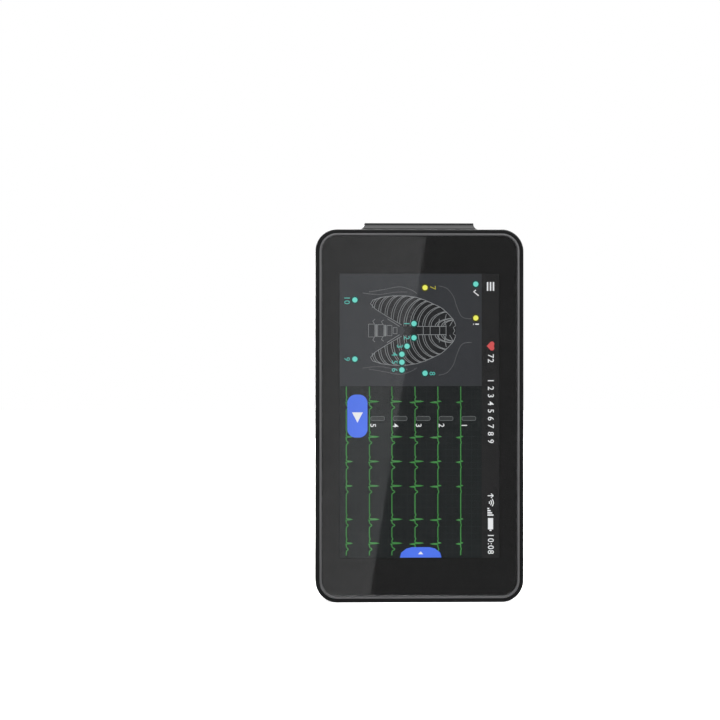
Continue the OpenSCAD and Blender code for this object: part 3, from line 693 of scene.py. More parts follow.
class Recipe(Nodes):
    """A Geometry Nodes tree with named inputs, that makes one piece at a time."""

    def __init__(self, name: str, inputs: dict[str, str]) -> None:
        """Starts the tree.

        Args:
            name: The tree's name.
            inputs: Socket type by input name.
        """
        super().__init__(bpy.data.node_groups.new(name, "GeometryNodeTree"))
        self.sockets = {
            label: self.tree.interface.new_socket(name=label, in_out="INPUT", socket_type=kind)
            for label, kind in inputs.items()
        }
        self.tree.interface.new_socket(name="Geometry", in_out="OUTPUT", socket_type="NodeSocketGeometry")
        self.given = self.tree.nodes.new("NodeGroupInput")
        self.out = self.tree.nodes.new("NodeGroupOutput")

    def maths(self, operation: str, first: object, second: object) -> Socket:
        """Adds a sum of two numbers or sockets, and gives the result's socket."""
        return self.node("ShaderNodeMath", {0: first, 1: second}, operation=operation).outputs[0]

    def end(self, geometry: Socket) -> None:
        """Ends the tree: real geometry, with its material.

        Args:
            geometry: What the tree has made.
        """
        real = self.node("GeometryNodeRealizeInstances", {"Geometry": geometry}).outputs[0]
        finish = self.given.outputs["Finish"]
        dressed = self.node("GeometryNodeSetMaterial", {"Geometry": real, "Material": finish}).outputs[0]
        self.tree.links.new(dressed, self.out.inputs[0])

    def run(self, name: str, values: dict[str, object]) -> Thing:
        """Makes a piece with these inputs.

        Args:
            name: The piece's name.
            values: Value by input name.

        Returns:
            The piece as a plain mesh at the origin.
        """
        piece = placed(name, bpy.data.meshes.new(name))
        step = piece.modifiers.new("recipe", "NODES")
        step.node_group = self.tree
        for label, value in values.items():
            step[self.sockets[label].identifier] = value
        settle(piece)
        for source in (v for v in values.values() if isinstance(v, bpy.types.Object)):
            bpy.data.objects.remove(source)
        return piece


def grid_recipe() -> Recipe:
    """Makes the tree that repeats one piece in columns along X and rows along Z.

    Returns:
        The tree.
    """
    recipe = Recipe("repeat_in_rows", {
        "Piece": "NodeSocketObject", "Columns": "NodeSocketInt", "Rows": "NodeSocketInt",
        "Pitch X": "NodeSocketFloat", "Pitch Z": "NodeSocketFloat", "Finish": "NodeSocketMaterial",
    })
    given = recipe.given.outputs
    lines = []
    for count, pitch, axis in (("Columns", "Pitch X", "X"), ("Rows", "Pitch Z", "Z")):
        reach = recipe.maths("MULTIPLY", recipe.maths("SUBTRACT", given[count], 1.0), given[pitch])
        start = recipe.node("ShaderNodeCombineXYZ", {axis: recipe.maths("MULTIPLY", reach, -0.5)}).outputs[0]
        offset = recipe.node("ShaderNodeCombineXYZ", {axis: given[pitch]}).outputs[0]
        lines.append(recipe.node(
            "GeometryNodeMeshLine", {"Count": given[count], "Start Location": start, "Offset": offset},
        ).outputs[0])
    rows = recipe.node("GeometryNodeInstanceOnPoints", {"Points": lines[1], "Instance": lines[0]}).outputs[0]
    places = recipe.node("GeometryNodeRealizeInstances", {"Geometry": rows}).outputs[0]
    source = recipe.node("GeometryNodeObjectInfo", {"Object": given["Piece"]}).outputs["Geometry"]
    recipe.end(recipe.node("GeometryNodeInstanceOnPoints", {"Points": places, "Instance": source}).outputs[0])
    return recipe


def line_recipe() -> Recipe:
    """Makes the tree that gives a drawn line its width, and flattens it onto a depth.

    Returns:
        The tree.
    """
    recipe = Recipe("flat_line", {
        "Line": "NodeSocketObject", "Width": "NodeSocketFloat", "Flatness": "NodeSocketFloat",
        "Depth": "NodeSocketFloat", "Finish": "NodeSocketMaterial",
    })
    given = recipe.given.outputs
    source = recipe.node("GeometryNodeObjectInfo", {"Object": given["Line"]}).outputs["Geometry"]
    curve = recipe.node("GeometryNodeMeshToCurve", {"Mesh": source}).outputs[0]
    radius = recipe.maths("MULTIPLY", given["Width"], 0.5)
    profile = recipe.node("GeometryNodeCurvePrimitiveCircle", {"Resolution": 8, "Radius": radius}).outputs[0]
    swept = recipe.node(
        "GeometryNodeCurveToMesh", {"Curve": curve, "Profile Curve": profile, "Fill Caps": True},
    ).outputs[0]
    scale = recipe.node("ShaderNodeCombineXYZ", {"X": 1.0, "Y": given["Flatness"], "Z": 1.0}).outputs[0]
    shift = recipe.node("ShaderNodeCombineXYZ", {"Y": given["Depth"]}).outputs[0]
    recipe.end(recipe.node(
        "GeometryNodeTransform", {"Geometry": swept, "Scale": scale, "Translation": shift},
    ).outputs[0])
    return recipe


GRID = grid_recipe()
LINE = line_recipe()


def repeat(name: str, unit: Thing, columns: int, rows: int, pitch_x: float, pitch_z: float,
           material: bpy.types.Material | None = None) -> Thing:
    """Repeats a unit in columns and rows round its own place.

    Args:
        name: Name of the result.
        unit: The unit, which is used up.
        columns: Count along X.
        rows: Count along Z.
        pitch_x: Distance along X, in millimetres.
        pitch_z: Distance along Z, in millimetres.
        material: Its material.

    Returns:
        The repeated piece.
    """
    return GRID.run(name, {
        "Piece": unit, "Columns": columns, "Rows": rows, "Pitch X": pitch_x * MM, "Pitch Z": pitch_z * MM,
        "Finish": material,
    })


# ---- case ----


@dataclass
class Case:
    """The moulded case: a front housing and the back cover that closes it. Depths run from the glass back.

    Attributes:
        edge_in: How far the long back edges' rounding reaches in from the sides.
        end_in: How far it reaches in from the ends.
        edge_deep: Its depth.
        keys: Height of the middle and length of the power, volume and function key.
        screws: Half the distance across, and the lower and upper height, of the cover's screws.
        label: Half the width, the lower edge and the height of the label recess.
        grille: Columns, rows, pitch and width of the sound holes, and height of their middle.
        display_bed: Lowest and highest corner of the recess that the display lies in.
        mouth: Width, height and corner radius of the socket's opening.
        port: Depth of the charging port's middle, its height and its width.
        mic: Place across, depth and radius of the microphone's hole.
        eye: Radius of the camera's hole, and of the recess for its ring.
        cut_from: A depth in the hollow, where cuts through the back start.
    """

    width: float = 81.0
    height: float = 145.0
    depth: float = 17.0
    corner: float = 8.5
    least_corner: float = 2.5
    side_wall: float = 2.0
    back_wall: float = 1.6
    rim_w: float = 1.55
    rim_land: float = 1.15
    rim_deep: float = 0.8
    edge_in: float = 12.0
    end_in: float = 6.0
    edge_deep: float = 3.0
    web_front: float = 3.1
    web_back: float = 4.2
    pocket: float = 1.35
    seam_z: float = 128.1
    seam_r: float = 6.5
    seam_depth: float = 13.1
    seam_gap: float = 0.15
    ledge_w: float = 42.6
    ledge_h: float = 2.65
    ledge_front: float = 5.1
    socket_depth: float = 10.6
    corner_steps: int = 20
    rim_steps: int = 10
    edge_steps: int = 18
    scoop_w: float = 5.9
    scoop_deep: float = 0.9
    scoop_over: float = 3.0
    key_depth: float = 6.6
    key_w: float = 2.0
    key_gap: float = 0.15
    keys: tuple[tuple[float, float], ...] = ((107.9, 13.5), (72.5, 31.0), (37.1, 14.1))
    screws: tuple[float, float, float] = (26.5, 21.4, 117.2)
    label: tuple[float, float, float] = (21.3, 24.6, 29.1)
    grille: tuple[int, int, float, float, float] = (10, 5, 2.04, 1.25, 10.4)
    display_bed: tuple[Flat, Flat] = ((-33.55, 14.75), (33.55, 132.75))
    block_low: float = 142.2
    block_back: float = 15.5
    mouth: Point = (26.56, 9.5, 2.6)
    jack_x: float = 16.66
    jack_seat: float = 143.7
    well_r: float = 3.1
    bore_r: float = 1.6
    camera_z: float = 135.4
    camera_seat: float = 16.3
    eye: Flat = (2.6, 5.35)
    port: Point = (7.43, 3.76, 9.44)
    mic: Point = (-9.5, 6.3, 0.5)
    cut_from: float = 14.0
    edge_w: float = 0.1

    def ring(self, depth: float, side_in: float, end_in: float) -> list[Point]:
        """Gives the case's outline at one depth.

        Args:
            depth: Depth behind the glass.
            side_in: How far the sides are drawn in.
            end_in: How far the ends are drawn in.

        Returns:
            The ring of points.
        """
        r = max(self.corner - min(side_in, end_in), self.least_corner)
        low = (-self.width / 2 + side_in, end_in)
        high = (self.width / 2 - side_in, self.height - end_in)
        return [(x, depth, z) for x, z in round_rect(low, high, r, self.corner_steps)]

    def outline(self, inset: float) -> list[Flat]:
        """Gives the front outline as (x, z) points, drawn in all round by the inset."""
        return [(x, z) for x, _, z in self.ring(0.0, inset, inset)]

    def outer(self, name: str) -> Thing:
        """Makes the closed outer form.

        Args:
            name: Name of the object.

        Returns:
            The form.
        """
        rings = []
        for i in range(self.rim_steps + 1):
            turn = math.pi / 2 * i / self.rim_steps
            inset = (self.rim_w - self.rim_land) * (1 - math.sin(turn))
            rings.append(self.ring(self.rim_deep * (1 - math.cos(turn)), inset, inset))
        for i in range(self.edge_steps + 1):
            turn = math.pi / 2 * i / self.edge_steps
            share = 1 - math.cos(turn)
            depth = self.depth - self.edge_deep * (1 - math.sin(turn))
            rings.append(self.ring(depth, self.edge_in * share, self.end_in * share))
        return Solid(name).stack(rings).make()

    def inner(self) -> Thing:
        """Makes the hollow behind the web.

        Returns:
            The hollow as a solid.
        """
        back = self.depth - self.back_wall
        rise = self.edge_deep - self.back_wall
        rings = [self.ring(self.web_back, self.side_wall, self.side_wall)]
        for i in range(self.edge_steps + 1):
            turn = math.pi / 2 * i / self.edge_steps
            share = 1 - math.cos(turn)
            rings.append(self.ring(
                back - rise * (1 - math.sin(turn)),
                self.side_wall + (self.edge_in - self.side_wall) * share,
                self.side_wall + (self.end_in - self.side_wall) * share,
            ))
        return Solid("hollow").stack(rings).make()

    def cover_region(self, grow: float) -> Thing:
        """Makes the region that the back cover takes.

        Args:
            grow: How far its outline is grown.

        Returns:
            The region as a solid.
        """
        r = self.seam_r + grow
        x, z = self.width / 2 + grow - r, self.seam_z + grow - r
        wide, low, step = self.width, -11.0, self.seam_z - self.seam_r
        outline = [(-wide, low), (wide, low), (wide, step), (x + r, step)]
        outline += arc((x, z), r, 0, 90, 24) + arc((-x, z), r, 90, 180, 24)
        outline += [(-x - r, step), (-wide, step)]
        return Solid("cover_region").plate(outline, self.seam_depth - grow, self.depth + 1).make()

    def ledge(self) -> Thing:
        """Makes the raised socket housing with its flared ends.

        Returns:
            The housing as a solid.
        """
        foot, sink, under_r, edge = self.height - 0.8, 0.12, 1.5, 0.12
        top, top_x, flare = self.height + self.ledge_h, self.ledge_w / 2, self.ledge_h
        base = self.height - sink
        reach = top_x + flare
        front = [(-reach, foot), (reach, foot)]
        front += arc((reach, base + flare), flare, 270, 180, 16)
        front += [(top_x, top)]
        mirrored = [(-x, z) for x, z in reversed(front[2:])]
        near, rear = self.ledge_front, self.depth
        face = Solid("ledge").plate(front + mirrored, near - flare, rear).make()
        side = [(near - flare, foot)] + arc((near - flare, base + flare), flare, 270, 360, 20)
        side += [(near, top), (rear - edge, top), (rear, top - edge)]
        low = math.degrees(math.asin(math.sqrt(under_r**2 - 0.25) / under_r))
        side += arc((rear + 0.5, foot), under_r, 180 - low, 180, 10)
        return combine(face, Solid("section").bar(side, -self.width / 2, self.width / 2).make(), Join.KEEP)

    def scoop(self, z: float, length: float) -> Thing:
        """Makes the tool that cuts a finger scoop.

        Args:
            z: Height of the key's middle.
            length: Length of the key.

        Returns:
            The tool.
        """
        r = ((self.scoop_w / 2) ** 2 + self.scoop_deep**2) / (2 * self.scoop_deep)
        reach = length / 2 + self.scoop_over - self.scoop_w / 2
        x = self.width / 2 - self.scoop_deep + r
        profile = [(px, pz + z + reach) for px, pz in arc((0, 0), r, 90, 0, 40)]
        profile += [(px, pz + z - reach) for px, pz in arc((0, 0), r, 0, -90, 40)]
        return Solid("scoop").turned(profile, lambda a, b, h: (x + a, self.key_depth + b, h), 180).make()

    def openings(self) -> list[Thing]:
        """Makes the tools for the socket, camera, port, microphone and keys.

        Returns:
            The tools.
        """
        top, past = self.height + self.ledge_h, 1.0
        mouth = socket_outline(*self.mouth, self.socket_depth)
        tools = [Solid("mouth").post(mouth, self.block_low - past, top + past).make()]
        for s in (-1, 1):
            axis = (s * self.jack_x, self.socket_depth)
            well, bore = circle(axis, self.well_r, 40), circle(axis, self.bore_r, 32)
            tools.append(Solid("well").post(well, self.jack_seat, top + past).make())
            tools.append(Solid("bore").post(bore, self.block_low - past, self.jack_seat + past).make())
        ends = ((self.cut_from, self.depth), (self.camera_seat, self.depth + past))
        for r, (front, back) in zip(self.eye, ends):
            tools.append(Solid("eye").plate(circle((0, self.camera_z), r, 64), front, back).make())
        depth, high, wide = self.port
        port = [(x, d) for d, x in slot_outline((depth, 0.0), high, wide)]
        mic = circle(self.mic[:2], self.mic[2], 24)
        for name, outline in (("port", port), ("mic", mic)):
            tools.append(Solid(name).post(outline, -past, self.side_wall + past).make())
        wall = self.width / 2 - self.side_wall
        for z, length in self.keys:
            grow = 2 * self.key_gap
            outline = slot_outline((self.key_depth, z), self.key_w + grow, length + grow)
            slot = Solid("slot").bar(outline, wall - past, wall + self.side_wall + past)
            tools += [self.scoop(z, length), slot.make()]
        return tools

    def front_housing(self) -> Thing:
        """Makes the front housing.

        Returns:
            The piece.
        """
        shell = combine(self.outer("front_housing"), self.inner(), Join.CUT)
        combine(shell, self.cover_region(self.seam_gap / 2), Join.CUT)
        combine(shell, self.ledge(), Join.ADD)
        half, overlap = self.ledge_w / 2, 1.1
        block = box(-half, self.block_low, half, self.height - overlap)
        combine(shell, Solid("block").plate(block, self.ledge_front, self.block_back).make(), Join.ADD)
        combine(shell, Solid("pocket").plate(self.outline(self.rim_w), -1, self.pocket).make(), Join.CUT)
        bed = Solid("bed").plate(round_rect(*self.display_bed, 0.4, 3), 0.5, self.web_front)
        combine(shell, bed.make(), Join.CUT)
        for tool in self.openings():
            combine(shell, tool, Join.CUT)
        soften(shell, self.edge_w)
        return show(shell, Slot.CASE, nodes=["housing_frame"])

    def sound_holes(self) -> Thing:
        """Makes the tools for the rows of sound holes.

        Returns:
            All the tools as one mesh.
        """
        columns, rows, pitch, hole, z = self.grille
        lead, r, past = 0.14, hole / 2, self.depth + 1
        profile = [(0, self.cut_from), (r, self.cut_from), (r, self.depth - lead), (r + lead, self.depth)]
        profile += [(r + lead, past), (0, past)]
        unit = Solid("hole").turned(profile, lambda a, b, h: (a, h, z + b), 20).make()
        return repeat("sound_holes", unit, columns, rows, pitch, pitch)

    def back_cover(self) -> Thing:
        """Makes the back cover.

        Returns:
            The piece.
        """
        cover = combine(self.outer("back_cover"), self.inner(), Join.CUT)
        combine(cover, self.cover_region(-self.seam_gap / 2), Join.KEEP)
        combine(cover, self.sound_holes(), Join.CUT)
        half, low, tall = self.label
        corner, deep, bevel, past = 2.5, 0.4, 0.12, self.depth + 1
        steps = ((0.0, self.depth - deep), (0.0, self.depth - bevel), (bevel, self.depth), (bevel, past))
        rings = []
        for g, d in steps:
            outline = round_rect((-half - g, low - g), (half + g, low + tall + g), corner + g, 12)
            rings.append([(x, d, z) for x, z in outline])
        combine(cover, Solid("label").stack(rings).make(), Join.CUT)
        dx, z0, z1 = self.screws
        hole_r, sink_r, flare, floor = 1.0, 1.6, 0.18, self.depth - 2.0
        profile = [(0, self.cut_from), (hole_r, self.cut_from), (hole_r, floor), (sink_r, floor)]
        profile += [(sink_r, self.depth - 0.15), (sink_r + flare, self.depth + 0.02)]
        profile += [(sink_r + flare, past), (0, past)]
        middle = (z0 + z1) / 2
        sink = Solid("sink").turned(profile, lambda a, b, h: (a, h, middle + b), 40).make()
        combine(cover, repeat("sinks", sink, 2, 2, 2 * dx, z1 - z0), Join.CUT)
        soften(cover, self.edge_w)
        return show(cover, Slot.CASE, nodes=["rear_cover"])

    def cover_screws(self) -> Thing:
        """Makes the four screws of the back cover, each with a cross recess.

        Returns:
            The piece.
        """
        dx, z0, z1 = self.screws
        middle = (z0 + z1) / 2
        shank_r, head_r, foot, seat, top = 0.8, 1.4, 6.5, 15.0, 15.9
        profile = [(0, foot), (shank_r, foot), (shank_r, seat), (head_r, seat), (head_r, top - 0.25)]
        profile += [(head_r - 0.08, top - 0.08), (head_r - 0.25, top), (0, top)]
        unit = Solid("screw").turned(profile, lambda a, b, h: (a, h, middle + b), 36).make()
        arm, slim = 0.75, 0.2
        cross = [
            (arm, -slim), (arm, slim), (slim, slim), (slim, arm), (-slim, arm), (-slim, slim), (-arm, slim),
            (-arm, -slim), (-slim, -slim), (-slim, -arm), (slim, -arm), (slim, -slim),
        ]
        tool = Solid("cross").plate([(x, middle + z) for x, z in cross], top - 0.5, self.depth).make()
        soften(combine(unit, tool, Join.CUT), 0.03)
        screws = repeat("cover_screws", unit, 2, 2, 2 * dx, z1 - z0, finish_of(Slot.BLACK_SCREW))
        return show(screws, Slot.BLACK_SCREW, nodes=["rear_screws"])

    def build(self) -> None:
        """Makes the case's pieces."""
        self.front_housing()
        self.back_cover()
        self.cover_screws()


def socket_outline(w: float, h: float, r: float, depth: float) -> list[Flat]:
    """Gives the socket's outline, wider at its back.

    Args:
        w: Width at the back.
        h: Height, front to back.
        r: Radius of its corners.
        depth: Depth of its middle.

    Returns:
        Points (x, depth).
    """
    lean = 10.0
    slope = math.tan(math.radians(lean))
    corners = [
        (w / 2, h / 2, 0, 90 + lean), (-w / 2, h / 2, 90 - lean, 180),
        (-w / 2 + slope * h, -h / 2, 180, 270), (w / 2 - slope * h, -h / 2, 270, 360),
    ]
    points = []
    for x, d, start, stop in corners:
        side, up = (1 if x > 0 else -1), (1 if d > 0 else -1)
        points += arc((x - side * r * (1 + slope * up), depth + d - up * r), r, start, stop, 8)
    return points


# ---- window ----


@dataclass
class Window:
    """The light ring, the cover glass and the black print on its back."""

    case: Case
    ring_in: float = 1.6
    ring_w: float = 0.66
    ring_foot: float = 2.6
    groove: float = 0.75
    glass_in: float = 2.65
    glass_t: float = 1.08
    print_t: float = 0.02
    screen_x: float = 31.15
    screen_low: float = 17.15
    screen_high: float = 127.85

    def stepped(self, name: str, steps: Sequence[Flat], closed: bool) -> Thing:
        """Skins the case's outline through pairs of inset and depth; closed makes a ring with a hole."""
        rings = [[(x, depth, z) for x, z in self.case.outline(inset)] for inset, depth in steps]
        return Solid(name).stack(rings, closed).make()

    def build(self) -> None:
        """Makes the window's pieces."""
        a, b, edge, near = self.ring_in, self.ring_in + self.ring_w, 0.07, 0.02
        steps = [(a, self.case.pocket), (a, edge), (a + near, near), (a + edge, 0.0)]
        steps += [(b - edge, 0.0), (b - near, near), (b, edge), (b, self.groove)]
        steps += [(self.ring_foot, self.groove), (self.ring_foot, self.case.pocket)]
        ring = soften(self.stepped("light_ring", steps, True))
        show(ring, Slot.BEZEL, nodes=["bezel_ring"])
        g = self.glass_in
        steps = [(g, self.glass_t), (g, 0.12), (g + 0.03, 0.05), (g + 0.1, 0.012), (g + 0.22, 0.0)]
        glass = soften(self.stepped("cover_glass", steps, False))
        show(glass, Slot.GLASS, nodes=["front_glass"])
        back = self.glass_t + 0.002
        outline = self.case.outline(g + 0.05)
        frame_print = Solid("border_print").plate(outline, back, back + self.print_t).make()
        view = round_rect((-self.screen_x, self.screen_low), (self.screen_x, self.screen_high), 0.4, 4)
        combine(frame_print, Solid("view").plate(view, 0.5, 2).make(), Join.CUT)
        show(soften(frame_print), Slot.INK)


# ---- screen picture ----


class Ink(Enum):
    """The colours of the screen picture."""

    CHART = Glow("chart_field", (0.0035, 0.0062, 0.0065), 0.3)
    BODY_FIELD = Glow("electrode_field", (0.0255, 0.0275, 0.0315), 0.1)
    BAR = Glow("status_bar", (0.0085, 0.0085, 0.0088), 0.1)
    GRID = Glow("grid_lines", (0.010, 0.017, 0.016), 0.4)
    TRACE = Glow("trace_green", (0.05, 0.27, 0.055), 0.3)
    MARK = Glow("mark_grey", (0.10, 0.11, 0.11), 0.1)
    MARK_DIM = Glow("mark_dim", (0.030, 0.034, 0.034), 0.2)
    BONE = Glow("bone_grey", (0.22, 0.23, 0.235), 0.3)
    RIB_SHADE = Glow("rib_shade", (0.008, 0.0085, 0.010), 0.3)
    FAINT = Glow("faint_grey", (0.072, 0.076, 0.08), 0.2)
    TEAL = Glow("dot_teal", (0.14, 0.66, 0.56), 0.06)
    TEAL_SIGN = Glow("sign_teal", (0.07, 0.42, 0.36), 0.1)
    TEAL_HALO = Glow("halo_teal", (0.001, 0.045, 0.038), 0.1)
    YELLOW = Glow("dot_yellow", (0.84, 0.84, 0.12), 0.06)
    YELLOW_SIGN = Glow("sign_yellow", (0.40, 0.37, 0.03), 0.1)
    YELLOW_HALO = Glow("halo_yellow", (0.05, 0.046, 0.001), 0.1)
    BLUE = Glow("button_blue", (0.07, 0.17, 0.82), 0.1)
    WHITE = Glow("sign_white", (0.80, 0.81, 0.82), 0.05)
    RED = Glow("heart_red", (0.60, 0.08, 0.08), 0.06)


class Layer:
    """Depths of the picture's layers behind the glass, in millimetres, from the back forwards."""

    FIELD = 1.338
    GRID_BACK = 1.333
    GRID = 1.326
    SHADE = 1.326
    MARK_FIELD = 1.325
    FAINT = 1.318
    DISC = 1.314
    TRACE = 1.312
    BONE = 1.31
    MARK = 1.30
    HALO = 1.298
    BUTTON = 1.292
    LEGEND = 1.29
    LEAD_NUMBER = 1.285
    DOT = 1.282
    SIGN = 1.28
    BUTTON_SIGN = 1.275
    NUMBER = 1.27


@dataclass
class ScreenPicture:
    """What the lit screen shows, in its own frame: `a` runs from its left, `b` from its lower edge, in mm.

    The screen lies on its side: its left is the monitor's top end, and its upper edge is on the right.

    Attributes:
        chart_a: Where the chart starts.
        bar_b: Where the status bar starts.
        leads: Height of each lead's line.
        beats: Place of each heartbeat along the chart.
        rises: Height of each lead's peaks.
        falls: Depth of the dip after a peak, for each lead.
        waves: Height of the slow waves round a peak, for each lead.
        middle_a: Middle of the chest.
        gap: Distance that the fields keep from the screen's edge.
        number_h: Height of a digit.
    """

    wide: float = 110.7
    tall: float = 62.3
    top_z: float = 127.85
    left_x: float = -31.15
    chart_a: float = 43.8
    bar_b: float = 55.4
    leads: tuple[float, ...] = (2.67, 11.66, 20.4, 29.4, 38.3, 47.2)
    beats: tuple[float, ...] = (49.8, 63.5, 73.1, 82.6, 95.6, 104.9)
    rises: tuple[float, ...] = (2.4, 3.8, 4.0, 3.4, 1.4, 0.9)
    falls: tuple[float, ...] = (0.3, 0.5, 0.6, 2.3, 3.1, 1.8)
    waves: tuple[float, ...] = (0.7, 0.9, 1.1, 1.0, 0.35, 0.2)
    middle_a: float = 22.2
    gap: float = 0.05
    number_h: float = 2.2
    trace_w: float = 0.38
    mark_w: float = 0.22
    bone_w: float = 0.24
    faint_w: float = 0.3
    legend_w: float = 0.42
    sign_w: float = 0.34
    dot_r: float = 1.02
    halo_r: float = 1.5
    materials: dict[Ink, bpy.types.Material] = field(default_factory=dict)

    def place(self, a: float, b: float) -> Flat:
        """Gives the place (x, z) on the monitor, in millimetres, of a point of the picture."""
        return (self.left_x + b, self.top_z - a)

    def ink(self, ink: Ink) -> bpy.types.Material:
        """Gives an ink's material, made once.

        Args:
            ink: The ink.

        Returns:
            The material.
        """
        if ink not in self.materials:
            self.materials[ink] = ink.value.build()
        return self.materials[ink]

    def put(self, piece: Thing, ink: Ink) -> Thing:
        """Dresses a part of the picture in an ink."""
        return show(piece, Slot.DISPLAY, material=self.ink(ink))

    def areas(self, name: str, shapes: Iterable[Sequence[Flat]], depth: float, ink: Ink) -> Thing:
        """Makes flat areas from outlines in the picture's frame.

        Args:
            name: Name of the part.
            shapes: The outlines.
            depth: Depth behind the glass.
            ink: The ink.

        Returns:
            The part.
        """
        solid = Solid(name)
        for shape in shapes:
            solid.plate([self.place(a, b) for a, b in shape], depth, depth + FILM_MM)
        return self.put(solid.make(), ink)

    def lines(self, name: str, paths: Iterable[Sequence[Flat]], width: float, depth: float,
              ink: Ink) -> Thing:
        """Makes lines of one width from paths in the picture's frame.

        Args:
            name: Name of the part.
            paths: The paths.
            width: Width of the lines.
            depth: Depth behind the glass.
            ink: The ink.

        Returns:
            The part.
        """
        points: list[Point] = []
        edges: list[tuple[int, int]] = []
        for path in paths:
            start = len(points)
            for a, b in path:
                x, z = self.place(a, b)
                points.append((x * MM, 0.0, z * MM))
            edges += [(start + i, start + i + 1) for i in range(len(path) - 1)]
        mesh = bpy.data.meshes.new("drawn")
        mesh.from_pydata(points, edges, [])
        drawn = placed("drawn", mesh)
        piece = LINE.run(name, {
            "Line": drawn, "Width": width * MM, "Flatness": 0.01 / width, "Depth": (depth - HALF_DEPTH) * MM,
            "Finish": self.ink(ink),
        })
        return self.put(piece, ink)

    def digits(self, name: str, marks: Iterable[tuple[str, float, float]], size: float, depth: float,
               ink: Ink, spacing: float = 1.05) -> Thing:
        """Makes plain digits, upright in the picture's frame.

        Args:
            name: Name of the part.
            marks: Each text with the place of its lower edge's middle.
            size: Height of a digit.
            depth: Depth behind the glass.
            ink: The ink.
            spacing: Distance between digits, where 1 is the usual one.

        Returns:
            The part.
        """
        form = bmesh.new()
        for text, a, b in marks:
            curve = bpy.data.curves.new("digits", "FONT")
            curve.body, curve.size, curve.resolution_u = text, size / 0.7 * MM, 3
            curve.extrude, curve.align_x, curve.offset = 0.004 * MM, "CENTER", 0.015 * MM
            curve.space_character = spacing
            carrier = placed("digits", curve)
            graph = bpy.context.evaluated_depsgraph_get()
            mesh = bpy.data.meshes.new_from_object(carrier.evaluated_get(graph), depsgraph=graph)
            x, z = self.place(a, b)
            y = (depth - HALF_DEPTH) * MM
            mesh.transform(Matrix(((0, 1, 0, x * MM), (0, 0, -1, y), (-1, 0, 0, z * MM), (0, 0, 0, 1))))
            form.from_mesh(mesh)
            bpy.data.objects.remove(carrier)
            bpy.data.meshes.remove(mesh)
        bmesh.ops.remove_doubles(form, verts=form.verts, dist=1e-7)
        mesh = bpy.data.meshes.new(name)
        form.to_mesh(mesh)
        form.free()
        return self.put(placed(name, mesh), ink)

    def beat(self, lead: int, a: float) -> float:
        """Gives a lead's height at a place along the chart.

        Args:
            lead: Number of the lead.
            a: Place along the chart.

        Returns:
            Height above the lead's line, in millimetres.
        """
        total = 0.0
        for at in self.beats:
            d = a - at
            total += 0.32 * self.waves[lead] * math.exp(-(((d + 1.7) / 0.42) ** 2))
            total += self.rises[lead] * math.exp(-((d / 0.17) ** 2))
            total -= self.falls[lead] * math.exp(-(((d - 0.3) / 0.16) ** 2))
            total += self.waves[lead] * math.exp(-(((d - 2.3) / 0.55) ** 2))
        return total

    def chart(self) -> None:
        """Makes the chart's field, grid, traces, marks and numbers."""
        chart_area = box(self.chart_a, self.gap, self.wide - self.gap, self.bar_b)
        self.areas("chart_field", [chart_area], Layer.FIELD, Ink.CHART)
        length, pitch = self.wide - self.chart_a, 2.5
        columns, rows = int(length / pitch), int(self.bar_b / pitch)
        thin = 0.09
        for name, count_x, count_z, w, h in (
            ("grid_across", 1, columns, self.bar_b - 0.3, thin), ("grid_along", rows, 1, thin, length - 0.3),
        ):
            x, z = self.place((self.chart_a + self.wide) / 2, self.bar_b / 2)
            outline = box(x - w / 2, z - h / 2, x + w / 2, z + h / 2)
            bar = Solid("grid_bar").plate(outline, Layer.GRID, Layer.GRID_BACK).make()
            self.put(repeat(name, bar, count_x, count_z, pitch, pitch, self.ink(Ink.GRID)), Ink.GRID)
        step = 0.1
        count = int((self.wide - 1.2 - self.chart_a) / step)
        for number, b in enumerate(self.leads):
            places = [self.chart_a + 0.2 + i * step for i in range(count)]
            path = [(a, b + self.beat(number, a)) for a in places]
            self.lines(f"trace_{number + 1}", [path], self.trace_w, Layer.TRACE, Ink.TRACE)
        outlines = [round_rect((b + 0.5, 55.6), (b + 5.9, 57.2), 0.6, 5) for b in self.leads[1:]]
        marks = [[(a, b) for b, a in outline] for outline in outlines]
        self.areas("gain_bars", marks, Layer.MARK_FIELD, Ink.MARK_DIM)
        self.lines("gain_marks", [[*mark, mark[0]] for mark in marks], self.mark_w, Layer.MARK, Ink.MARK)
        numbers = [(str(6 - i), 59.1, b + 0.35) for i, b in enumerate(self.leads[1:], start=1)]
        self.digits("lead_numbers", numbers, self.number_h, Layer.LEAD_NUMBER, Ink.WHITE)

    def half_width(self, b: float) -> float:
        """Gives half the width of the rib cage's outline at a height.

        Args:
            b: The height.

        Returns:
            Half the width.
        """
        table = ((12.1, 10.4), (12.8, 11.8), (16.3, 12.9), (20.8, 13.5), (26.0, 13.5), (29.9, 12.9),
                 (33.4, 11.8), (36.3, 10.5), (39.5, 9.0), (42.1, 6.8), (44.4, 4.2), (45.3, 2.0))
        for (b0, w0), (b1, w1) in zip(table, table[1:]):
            if b <= b1:
                return w0 + (w1 - w0) * max(b - b0, 0.0) / (b1 - b0)
        return table[-1][1]

    def rib(self, low: float, side: int, offset: float) -> list[Flat]:
        """Gives one edge of a rib, which sinks from the outline to the breastbone.

        Args:
            low: Height of its inner end.
            side: -1 for the left and 1 for the right.
            offset: Distance of the edge from the rib's own line.

        Returns:
            The path.
        """
        full = math.radians(76)
        inner = 1.7 if low > 25 else 2.0 + (24.6 - low) * 0.6
        top = min(low + min(6.2, 2.4 + (low - 12.5) * 0.34), 44.4)
        outer = self.half_width(top)
        path = []
        for i in range(15):
            turn = full * i / 14
            b = low + offset + (top - low) * (1 - math.cos(turn)) / (1 - math.cos(full))
            d = inner + (outer - inner) * math.sin(turn) / math.sin(full)
            path.append((self.middle_a + side * min(d, self.half_width(b)), b))
        return path

